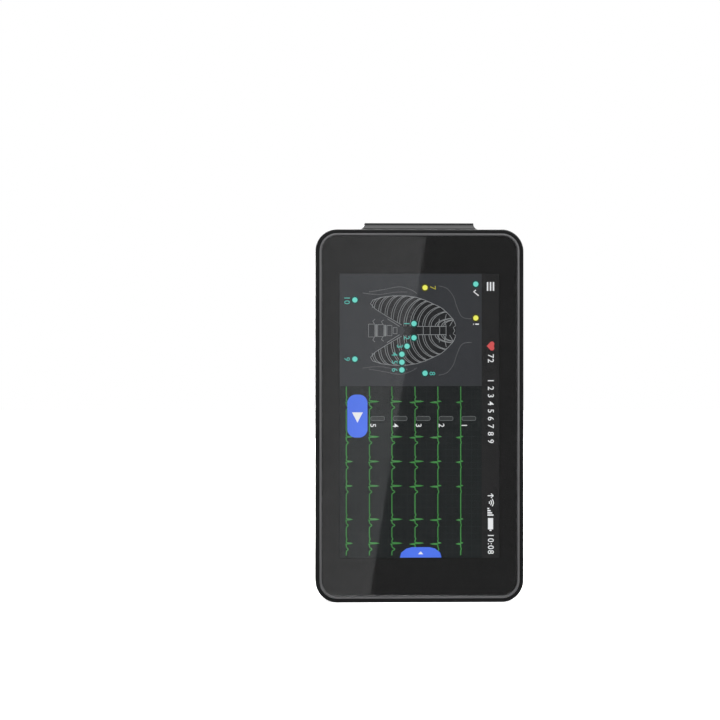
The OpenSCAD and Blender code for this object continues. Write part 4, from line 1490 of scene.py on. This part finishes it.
    def rib_cage(self) -> None:
        """Makes the drawing of the ribs, breastbone and spine."""
        middle = self.middle_a
        bones: list[Sequence[Flat]] = []
        for side in (-1, 1):
            bones += [self.rib(13.2 + 2.45 * i, side, k) for i in range(12) for k in (-0.42, 0.42)]
            bones.append([(middle + side * self.half_width(b), b) for b in spread(12.1, 45.2, 40)])
            for shape in (
                ((10.4, 12.1), (8.4, 13.9), (5.6, 18.3), (2.2, 24.2)), ((4.6, 18.6), (1.6, 23.4)),
                ((1.6, 30.2), (1.6, 41.6)), ((2.0, 45.3), (1.2, 44.3), (0.0, 44.9)),
                ((4.2, 44.3), (1.7, 42.9)),
                ((6.4, 41.6), (3.4, 40.9), (1.6, 41.6)), ((4.6, 38.9), (1.6, 38.6)),
                ((2.5, 13.6), (3.7, 13.0), (4.4, 13.8)), ((2.4, 16.9), (3.5, 16.3), (4.1, 17.2)),
            ):
                bones.append([(middle + side * d, b) for d, b in shape])
        for b in (32.6, 35.3, 39.0, 41.5):
            bones.append([(middle - 1.6, b), (middle + 1.6, b)])
        margin = ((0.0, 25.6), (2.2, 24.2), (5.6, 18.3), (8.4, 13.9))
        side_line = [*margin, *((self.half_width(b), b) for b in spread(12.1, 45.2, 30))]
        shade = [(middle + d, b) for d, b in side_line]
        shade += [(middle - d, b) for d, b in reversed(side_line[1:])]
        self.areas("rib_shade", [shade], Layer.SHADE, Ink.RIB_SHADE)
        spine = [box(middle - w, b0, middle + w, b1) for b0, b1, w in ((11.3, 13.7, 2.5), (14.9, 17.2, 2.3),
                                                                    (18.5, 20.4, 2.0), (20.9, 22.4, 1.2))]
        bones += [[*shape, shape[0]] for shape in spine]
        self.lines("rib_cage", bones, self.bone_w, Layer.BONE, Ink.BONE)
        discs = [box(middle - w, b0, middle + w, b0 + 0.8) for b0, w in ((13.9, 2.4), (17.4, 2.2))]
        self.areas("spine_discs", discs, Layer.DISC, Ink.BONE)
        faint = []
        for side in (-1, 1):
            shoulder = ((17.4, 38.6), (16.4, 41.8), (13.4, 44.3), (9.9, 45.5), (6.3, 47.0), (4.9, 48.6),
                        (4.6, 51.4))
            waist = ((15.0, 11.5), (15.9, 17.0), (17.0, 23.4), (15.8, 27.9), (14.4, 30.2))
            arm = ((14.6, 9.0), (14.0, 15.2), (14.9, 21.5), (15.0, 26.4))
            for points in (shoulder, waist, arm):
                faint.append([(middle + side * a, b) for a, b in smooth_path(points)])
        self.lines("body_outline", faint, self.faint_w, Layer.FAINT, Ink.FAINT)

    def electrodes(self) -> None:
        """Makes the electrode dots, the legend's two dots and their signs."""
        limbs = ((10.3, 6.0), (33.3, 6.0), (38.8, 33.3))
        chest = ((19.5, 29.0), (25.0, 29.0), (28.3, 26.3), (31.4, 24.3), (34.5, 24.3), (37.5, 24.3))
        teal = (*limbs, *chest, (4.1, 53.1))
        yellow = ((5.5, 33.3), (17.3, 53.1))
        for name, places, core, halo in (
            ("teal_dots", teal, Ink.TEAL, Ink.TEAL_HALO),
            ("yellow_dots", yellow, Ink.YELLOW, Ink.YELLOW_HALO),
        ):
            self.areas(name, [circle(p, self.dot_r, 28) for p in places], Layer.DOT, core)
            self.areas(f"{name}_halo", [circle(p, self.halo_r, 28) for p in places], Layer.HALO, halo)
        marks = [(str(i + 1), a, b - 3.9) for i, (a, b) in enumerate(chest)]
        marks += [("10", 10.4, 1.9), ("9", 33.3, 1.9), ("8", 38.9, 35.1)]
        self.digits("electrode_numbers", marks, self.number_h, Layer.NUMBER, Ink.TEAL_SIGN)
        self.digits("open_electrode_number", [("7", 5.5, 35.3)], self.number_h, Layer.NUMBER, Ink.YELLOW_SIGN)
        tick = [(6.4, 53.1), (7.1, 52.3), (8.6, 54.2)]
        alert = [[(19.7, 54.3), (19.7, 52.9)], [(19.7, 52.35), (19.7, 52.1)]]
        self.lines("legend_signs", [tick, *alert], self.legend_w, Layer.LEGEND, Ink.WHITE)

    def buttons(self) -> None:
        """Makes the two blue buttons and their signs."""
        pill = [(b, a) for a, b in round_rect((3.06, 47.1), (10.9, 63.8), 3.3, 12)]
        tab = [(110.5, 23.5), (108.6, 24.0), (107.0, 26.0), (106.45, 28.2), (106.45, 35.0), (107.0, 37.2),
               (108.6, 39.2), (110.5, 39.7)]
        self.areas("blue_buttons", [pill, tab], Layer.BUTTON, Ink.BLUE)
        play = [(54.0, 4.9), (58.0, 7.0), (54.0, 9.1)]
        more = [(108.1, 31.6), (109.2, 30.6), (109.2, 32.6)]
        self.areas("button_signs", [play, more], Layer.BUTTON_SIGN, Ink.WHITE)

    def status_bar(self) -> None:
        """Makes the status bar with its plain signs and digits."""
        bar = box(self.gap, self.bar_b, self.wide - self.gap, self.tall - self.gap)
        self.areas("status_bar", [bar], Layer.FIELD, Ink.BAR)
        b = self.bar_b + 3.45
        signs = [box(3.3, b + k * 1.15 - 0.28, 6.7, b + k * 1.15 + 0.28) for k in (-1, 0, 1)]
        signs += [box(91.2 + 0.85 * i, b - 1.2, 91.75 + 0.85 * i, b - 0.5 + 0.55 * i) for i in range(4)]
        signs += [box(95.2, b - 1.0, 99.6, b + 1.0), box(99.7, b - 0.4, 100.2, b + 0.4)]
        self.areas("status_signs", signs, Layer.SIGN, Ink.WHITE)
        radio = [[(85.7, b + 0.2), (86.5, b + 1.1), (87.3, b + 0.2)], [(86.5, b + 1.1), (86.5, b - 1.1)]]
        radio += [arc((89.2, b - 1.1), r, 50, 130, 10) for r in (0.7, 1.45, 2.2)]
        self.lines("link_signs", radio, self.sign_w, Layer.SIGN, Ink.WHITE)
        heart_a, lobe_r = 28.2, 0.92
        heart = [(heart_a, b - 1.5)]
        for side, low, high in ((1, -0.75, 2.75), (-1, 0.39, 3.89)):
            centre = (heart_a + side * 0.85, b + 0.55)
            heart += [(centre[0] + lobe_r * math.cos(t), centre[1] + lobe_r * math.sin(t))
                      for t in spread(low, high, 14)]
        self.areas("heart_sign", [heart], Layer.SIGN, Ink.RED)
        numbers = [("72", 33.0, b - 1.0), ("1 2 3 4 5 6 7 8 9", 53.5, b - 1.0), ("10:08", 105.2, b - 1.0)]
        self.digits("status_numbers", numbers, 2.3, Layer.SIGN, Ink.WHITE, 1.12)

    def build(self) -> None:
        """Makes the whole picture."""
        field_area = box(self.gap, self.gap, self.chart_a, self.bar_b)
        self.areas("electrode_field", [field_area], Layer.FIELD, Ink.BODY_FIELD)
        self.chart()
        self.rib_cage()
        self.electrodes()
        self.buttons()
        self.status_bar()


def box(a0: float, b0: float, a1: float, b1: float) -> list[Flat]:
    """Gives the four corners of the rectangle from (a0, b0) to (a1, b1)."""
    return [(a0, b0), (a1, b0), (a1, b1), (a0, b1)]


def spread(low: float, high: float, count: int) -> list[float]:
    """Gives evenly spaced numbers, both ends included."""
    return [low + (high - low) * i / (count - 1) for i in range(count)]


def smooth_path(points: Sequence[Flat], steps: int = 8) -> list[Flat]:
    """Gives a smooth path through points.

    Args:
        points: The points.
        steps: Pieces between two points.

    Returns:
        The path.
    """
    ends = [points[0], *points, points[-1]]
    path: list[Flat] = []
    for p0, p1, p2, p3 in zip(ends, ends[1:], ends[2:], ends[3:]):
        for i in range(steps):
            t = i / steps
            path.append(tuple(
                0.5 * (2 * b + (c - a) * t + (2 * a - 5 * b + 4 * c - d) * t**2
                       + (3 * b - a - 3 * c + d) * t**3)
                for a, b, c, d in zip(p0, p1, p2, p3)
            ))
    return [*path, points[-1]]


# ---- side keys ----


@dataclass
class SideKeys:
    """The three keys in the right-hand side.

    Attributes:
        case: The case that they sit in.
        sunk: How far their faces lie inside the case's side.
        edge: Radius of the edge round a face.
    """

    case: Case
    sunk: float = 0.15
    edge: float = 0.35

    @property
    def wall(self) -> float:
        """Gives the place of the side wall's inner face."""
        return self.case.width / 2 - self.case.side_wall

    def cap(self, name: str, z: float, length: float, inner: float) -> Thing:
        """Makes a key's outer bar, with its edge rounded.

        Args:
            name: Name of the object.
            z: Height of its middle.
            length: Its length.
            inner: Where it starts inside the wall.

        Returns:
            The bar.
        """
        steps, face = [(0.0, inner)], self.case.width / 2 - self.sunk
        for i in range(6):
            turn = math.pi / 2 * i / 5
            steps.append((self.edge * (1 - math.cos(turn)), face - self.edge * (1 - math.sin(turn))))
        middle, width = (self.case.key_depth, z), self.case.key_w
        rings = [
            [(x, d, h) for d, h in slot_outline(middle, width - 2 * g, length - 2 * g, 18)] for g, x in steps
        ]
        return Solid(name).stack(rings).make()

    def push_key(self, name: str, z: float, length: float, body: Body, node: str) -> None:
        """Makes a key that is pushed straight in.

        Args:
            name: Name of the piece.
            z: Height of its middle.
            length: Its length.
            body: Its CAD body.
            node: The CAD node that it stands for.
        """
        flange_out, flange_in, nub = self.wall - 0.05, self.wall - 0.8, self.wall - 1.3
        middle, lip = (self.case.key_depth, z), 0.7
        key = self.cap(name, z, length, flange_out - 0.05)
        outline = slot_outline(middle, self.case.key_w + 2 * lip, length + 2 * lip)
        combine(key, Solid("flange").bar(outline, flange_in, flange_out).make(), Join.ADD)
        combine(key, Solid("nub").bar(circle(middle, 1.0, 28), nub, flange_in + 0.05).make(), Join.ADD)
        show(soften(key), Slot.KEY, body, [node])

    def rocker(self) -> None:
        """Makes the volume key, with its spine and the nose that it rocks on."""
        (z, length), d = self.case.keys[1], self.case.key_depth
        spine_out, spine_in = self.wall - 0.55, self.wall - 1.3
        pivot = spine_in - 0.45
        key = self.cap("volume_rocker", z, length, spine_out - 0.05)
        outline = slot_outline((d, z), self.case.key_w + 0.8, length - 3.0)
        combine(key, Solid("spine").bar(outline, spine_in, spine_out).make(), Join.ADD)
        half, neck_half = 1.3, 0.5
        neck = box(d - half, z - neck_half, d + half, z + neck_half)
        combine(key, Solid("neck").bar(neck, pivot, spine_in + 0.05).make(), Join.ADD)
        nose = circle((pivot, z), 0.7, 32)
        combine(key, Solid("nose").plate(nose, d - half, d + half).make(), Join.ADD)
        show(soften(key), Slot.KEY, Body.VOLUME, ["volume_key"])

    def build(self) -> None:
        """Makes the three keys."""
        power, _, function = self.case.keys
        self.push_key("power_button", *power, Body.POWER, "power_key")
        self.push_key("function_button", *function, Body.FUNCTION, "function_key")
        self.rocker()


# ---- socket, camera and inner fasteners ----


@dataclass
class LeadSocket:
    """The contacts and jack screws of the patient-lead socket.

    Attributes:
        case: The case that it sits in.
        pitch: Distance between contacts in a row.
        row_gap: Distance between the two rows.
        sunk: How far the shell's mouth lies below the socket housing's top.
    """

    case: Case
    pitch: float = 2.77
    row_gap: float = 2.84
    sunk: float = 0.35

    @property
    def depth(self) -> float:
        """Gives the depth of the socket's middle."""
        return self.case.socket_depth

    @property
    def mouth(self) -> float:
        """Gives the height of the shell's mouth."""
        return self.case.height + self.case.ledge_h - self.sunk

    def contacts(self) -> None:
        """Makes the fifteen contacts: hollow ends, with flat tails on both faces of the board."""
        flange, top = self.mouth - 5.9, self.mouth - 0.7
        rear = flange - 2.1
        foot = rear - 0.3
        pin_r, lead_r, bore_r, bore_deep = 0.75, 0.66, 0.51, 5.0
        tail_w, tail_t, tail_long = 0.4, 0.15, 3.6
        rows = []
        for side, count in ((1, 8), (-1, 7)):
            d = self.depth + side * self.row_gap / 2
            profile = [(0, foot), (pin_r, foot), (pin_r, top - 0.12), (lead_r, top), (bore_r, top),
                       (bore_r, top - bore_deep), (0, top - bore_deep)]
            unit = Solid("contact").turned(profile, lambda a, b, h, d=d: (a, d + b, h), 20)
            face = self.depth + side * 0.75
            unit.plate(box(-tail_w, rear - tail_long, tail_w, rear - 0.1), face - tail_t, face + tail_t)
            low, high = sorted((face - side * tail_t, d))
            unit.plate(box(-tail_w, foot, tail_w, rear - 0.1), low, high)
            gold = finish_of(Slot.GOLD)
            rows.append(repeat(f"row_{count}", unit.make(), count, 1, self.pitch, self.pitch, gold))
        show(soften(joined("gold_contacts", rows)), Slot.GOLD, nodes=["socket_contacts"])

    def jacks(self) -> None:
        """Makes the two hexagonal jack screws."""
        seat, top, across = self.case.jack_seat, self.mouth - 0.2, 4.75
        r = across / 2 / math.cos(math.radians(30))
        head = Solid("jack").post(circle((0, self.depth), r, 6), seat, top).make()
        cone = [(0, seat - 1), (r + 0.4, seat - 1), (r + 0.4, top - 0.75), (across / 2 - 0.1, top)]
        cone.append((0, top + 0.05))
        tool = Solid("cone").turned(cone, lambda a, b, h: (a, self.depth + b, h), 48)
        combine(head, tool.make(), Join.KEEP)
        shank = circle((0, self.depth), 1.4, 36)
        combine(head, Solid("shank").post(shank, self.mouth - 7.9, seat + 0.05).make(), Join.ADD)
        floor, thread_r, lead_r = self.mouth - 4.2, 1.15, 1.45
        bore = [(0, floor), (thread_r, floor), (thread_r, top - 0.25), (lead_r, top + 0.05)]
        bore += [(lead_r, top + 1), (0, top + 1)]
        combine(head, Solid("bore").turned(bore, lambda a, b, h: (a, self.depth + b, h), 36).make(), Join.CUT)
        spacing = 2 * self.case.jack_x
        jacks = repeat("jack_posts", soften(head, 0.05), 2, 1, spacing, spacing, finish_of(Slot.STEEL))
        show(jacks, Slot.STEEL, nodes=["jack_screws"])

    def build(self) -> None:
        """Makes the socket's pieces."""
        self.contacts()
        self.jacks()


def joined(name: str, parts: Sequence[Thing]) -> Thing:
    """Makes one object from several meshes.

    Args:
        name: Its name.
        parts: The objects, which are used up.

    Returns:
        The object.
    """
    form = bmesh.new()
    for part in parts:
        form.from_mesh(part.data)
        bpy.data.objects.remove(part)
    mesh = bpy.data.meshes.new(name)
    form.to_mesh(mesh)
    form.free()
    return placed(name, mesh)


@dataclass
class RearCamera:
    """The camera's ring with fine turned steps, and its window."""

    case: Case
    ring_r: float = 5.3
    window_r: float = 3.0

    def turned(self, name: str, profile: Sequence[Flat], hollow: bool) -> Thing:
        """Turns a profile of (radius, depth) points round the camera's axis; hollow makes a ring."""
        return Solid(name).turned(profile, lambda a, b, h: (a, h, self.case.camera_z + b), 96, hollow).make()

    def build(self) -> None:
        """Makes the ring, the window and the dark eye behind it."""
        r0, r1, seat, top = self.window_r + 0.05, self.ring_r, self.case.camera_seat, self.case.depth
        profile = [(r0, seat), (r1, seat), (r1, top - 0.25), (r1 - 0.07, top - 0.08), (r1 - 0.25, top)]
        profile += [(4.75, top), (4.68, top - 0.1), (4.5, top - 0.1), (4.43, top), (4.05, top)]
        profile += [(3.98, top - 0.08)]
        profile += [(3.85, top - 0.08), (3.6, top - 0.2), (3.3, top - 0.36), (r0, top - 0.42)]
        ring = soften(self.turned("camera_surround", profile, True), angle=24.0)
        show(ring, Slot.GLOSS, nodes=["camera_ring"])
        r, thick = self.window_r, 0.3
        edge = [(0.0, seat), (r - 0.05, seat), (r, seat + 0.05), (r, seat + thick - 0.05)]
        edge += [(r - 0.07, seat + thick), (0.0, seat + thick)]
        show(soften(self.turned("camera_pane", edge, False)), Slot.LENS, nodes=["camera_window"])
        dome = [(0.0, 16.02), (0.4, 16.0), (0.7, 15.93), (0.95, 15.8), (1.02, 15.6), (0.0, 15.6)]
        show(soften(self.turned("camera_eye", dome, False)), Slot.GLOSS)


@dataclass
class InnerFasteners:
    """The screws that hold the ECG board, half across from the middle, at a lower and a higher place."""

    half: float = 19.5
    low: float = 103.5
    high: float = 127.5

    def build(self) -> None:
        """Makes the four board screws."""
        middle = (self.low + self.high) / 2
        shank_r, head_r, foot, seat, top = 0.8, 1.4, 3.8, 11.2, 12.1
        profile = [(0, foot), (shank_r, foot), (shank_r, seat), (head_r, seat), (head_r, top - 0.2)]
        profile += [(head_r - 0.15, top), (0, top)]
        unit = Solid("board_screw").turned(profile, lambda a, b, h: (a, h, middle + b), 28).make()
        arm, slim = 0.75, 0.2
        for w, h in ((arm, slim), (slim, arm)):
            tool = Solid("slot").plate(box(-w, middle - h, w, middle + h), top - 0.45, top + 1).make()
            combine(unit, tool, Join.CUT)
        screws = repeat("ecg_board_screws", soften(unit), 2, 2, 2 * self.half, self.high - self.low,
                        finish_of(Slot.STEEL))
        show(screws, Slot.STEEL, nodes=["board_screws"])


def dress_cad_nodes() -> None:
    """Gives every CAD node that stays its slot's material."""
    for slot, names in CAD_SLOTS.items():
        for name in names:
            dress(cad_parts[name], finish_of(slot))
            LOG.info("%s: CAD node in %s", name, slot.value)


# ---- studio ----


@dataclass(frozen=True)
class Softbox:
    """A soft lamp.

    Attributes:
        name: Its name.
        place: Where it stands, in metres.
        aim: The point that it faces.
        size: Its width and height, in metres.
        glow: Its brightness, where 1 is paper white.
        roll: Its turn about its own axis, in degrees.
        fade: Brightness at its far side, as a share of the near side's.
    """

    name: str
    place: Point
    aim: Point
    size: Flat
    glow: float
    roll: float = 0.0
    fade: float = 1.0

    def build(self) -> None:
        """Makes the lamp."""
        lamp = bpy.data.lights.new(self.name, "AREA")
        lamp.shape, lamp.size, lamp.size_y = "RECTANGLE", *self.size
        lamp.energy = self.glow * math.pi * self.size[0] * self.size[1]
        if self.fade < 1.0:
            lamp.use_nodes = True
            nodes = Nodes(lamp.node_tree)
            where = nodes.node("ShaderNodeNewGeometry").outputs["Parametric"]
            across = nodes.node("ShaderNodeSeparateXYZ", {0: where}).outputs["X"]
            share = nodes.node("ShaderNodeMapRange", {"Value": across, "To Min": self.fade}).outputs["Result"]
            nodes.tree.links.new(share, nodes.tree.nodes["Emission"].inputs["Strength"])
        holder = placed(self.name, lamp)
        holder.location = self.place
        turn = (Vector(self.aim) - Vector(self.place)).to_track_quat("-Z", "Y").to_matrix()
        holder.rotation_euler = (turn @ Matrix.Rotation(math.radians(self.roll), 3, "Z")).to_euler()
        holder.visible_camera = False


@dataclass
class Studio:
    """The camera at the photograph's angle, a pale floor, a pale room and soft lamps.

    Attributes:
        lens: The camera's focal length, in millimetres.
        place: Where the camera stands, in metres.
        turn_deg: Its turn to the right of straight ahead.
        sensor: Width of its sensor, in millimetres.
        floor_size: Side of the floor, in metres.
        floor_drop: How far the floor lies below the part.
        dome_level: Brightness of the room on matt surfaces.
        room_tones: What shiny surfaces mirror, as pairs of place from front to back and brightness.
        lamps: The lamps.
    """

    lens: float = 101.75
    place: Point = (-0.0480, -0.7978, 0.0942)
    turn_deg: float = -1.8
    sensor: float = 36.0
    floor_size: float = 6.0
    floor_drop: float = 5e-5
    dome_level: float = 0.55
    room_tones: tuple[Flat, ...] = (
        (0.0, 0.213), (0.2, 0.19), (0.42, 0.06), (0.6, 0.06), (0.8, 0.12), (1.0, 0.2),
    )
    lamps: tuple[Softbox, ...] = (
        Softbox(
            "front_card", (-0.0994, -1.587, 0.105), (-0.0994, 0.0, 0.105), (0.36, 1.4), 0.385, -8.87, 0.09,
        ),
        Softbox("brow_box", (0.1, -0.56, 1.27), (0.0, 0.0, 0.145), (1.8, 1.7), 5.5),
        Softbox("back_box", (-0.3, 0.35, 0.28), (0.0, 0.0, 0.13), (0.5, 0.3), 1.35),
        Softbox("edge_strip", (-0.06, 1.5, 0.5), (0.0, 0.0, 0.08), (0.5, 1.3), 8.5),
        Softbox("side_box", (1.0, 0.9, 0.8), (0.0, 0.0, 0.08), (0.8, 1.0), 2.6),
    )

    def camera(self) -> None:
        """Makes the camera."""
        data = bpy.data.cameras.new("camera")
        data.lens, data.sensor_width, data.clip_start = self.lens, self.sensor, 0.01
        holder = placed("camera", data)
        holder.location = self.place
        holder.rotation_euler = (math.pi / 2, 0.0, math.radians(self.turn_deg))
        bpy.context.scene.camera = holder

    def floor(self) -> None:
        """Makes the floor."""
        half = self.floor_size / 2
        mesh = bpy.data.meshes.new("floor")
        corners = [(x, y, -self.floor_drop) for x, y in box(-half, -half, half, half)]
        mesh.from_pydata(corners, [], [(0, 1, 2, 3)])
        floor = placed("floor", mesh)
        shader = Shader("floor_paper")
        shader.set({"Roughness": 0.9, "Specular IOR Level": 0.1, "Emission Strength": 0.85})
        shader.set({"Emission Color": (1.0, 1.0, 1.0)})
        tone = shader.blend(shader.span(shader.noise(60.0), 0.0, 1.0), (0.86, 0.86, 0.86), (0.88, 0.88, 0.88))
        shader.link(tone, "Base Color")
        mesh.materials.append(shader.material)
        floor.visible_glossy = floor.visible_transmission = False

    def room(self) -> None:
        """Makes the room: white to the camera, a soft dome to matt surfaces, darker to shiny ones."""
        world = bpy.data.worlds.new("room")
        bpy.context.scene.world = world
        world.use_nodes = True
        nodes = Nodes(world.node_tree)
        where = nodes.node("ShaderNodeTexCoord").outputs["Generated"]
        along = nodes.node("ShaderNodeSeparateXYZ", {0: where}).outputs["Y"]
        share = nodes.node("ShaderNodeMapRange", {"Value": along, "From Min": -1.0}).outputs["Result"]
        ramp = nodes.node("ShaderNodeValToRGB", {"Fac": share})
        stops = ramp.color_ramp.elements
        stops.remove(stops[1])
        for number, (position, level) in enumerate(self.room_tones):
            stop = stops.new(position) if number else stops[0]
            stop.color = (level, level, level, 1.0)
        seen = nodes.node("ShaderNodeLightPath").outputs
        tone = ramp.outputs["Color"]
        for ray, level in (("Is Diffuse Ray", self.dome_level), ("Is Camera Ray", 1.0)):
            inputs = {0: seen[ray], 6: tone, 7: (level, level, level, 1.0)}
            tone = nodes.node("ShaderNodeMix", inputs, data_type="RGBA").outputs[2]
        nodes.tree.links.new(tone, nodes.tree.nodes["Background"].inputs["Color"])

    def build(self) -> None:
        """Makes the studio."""
        bpy.context.scene.view_settings.view_transform = "Standard"
        self.camera()
        self.floor()
        self.room()
        for lamp in self.lamps:
            lamp.build()


def main() -> None:
    """Builds the monitor's pieces in order, and the studio round them."""
    logging.basicConfig(level=logging.INFO, format="%(name)s %(message)s", stream=sys.stdout)
    case = Case()
    case.build()
    Window(case).build()
    ScreenPicture().build()
    SideKeys(case).build()
    LeadSocket(case).build()
    RearCamera(case).build()
    InnerFasteners().build()
    dress_cad_nodes()
    Studio().build()


if __name__ == "__main__":
    main()
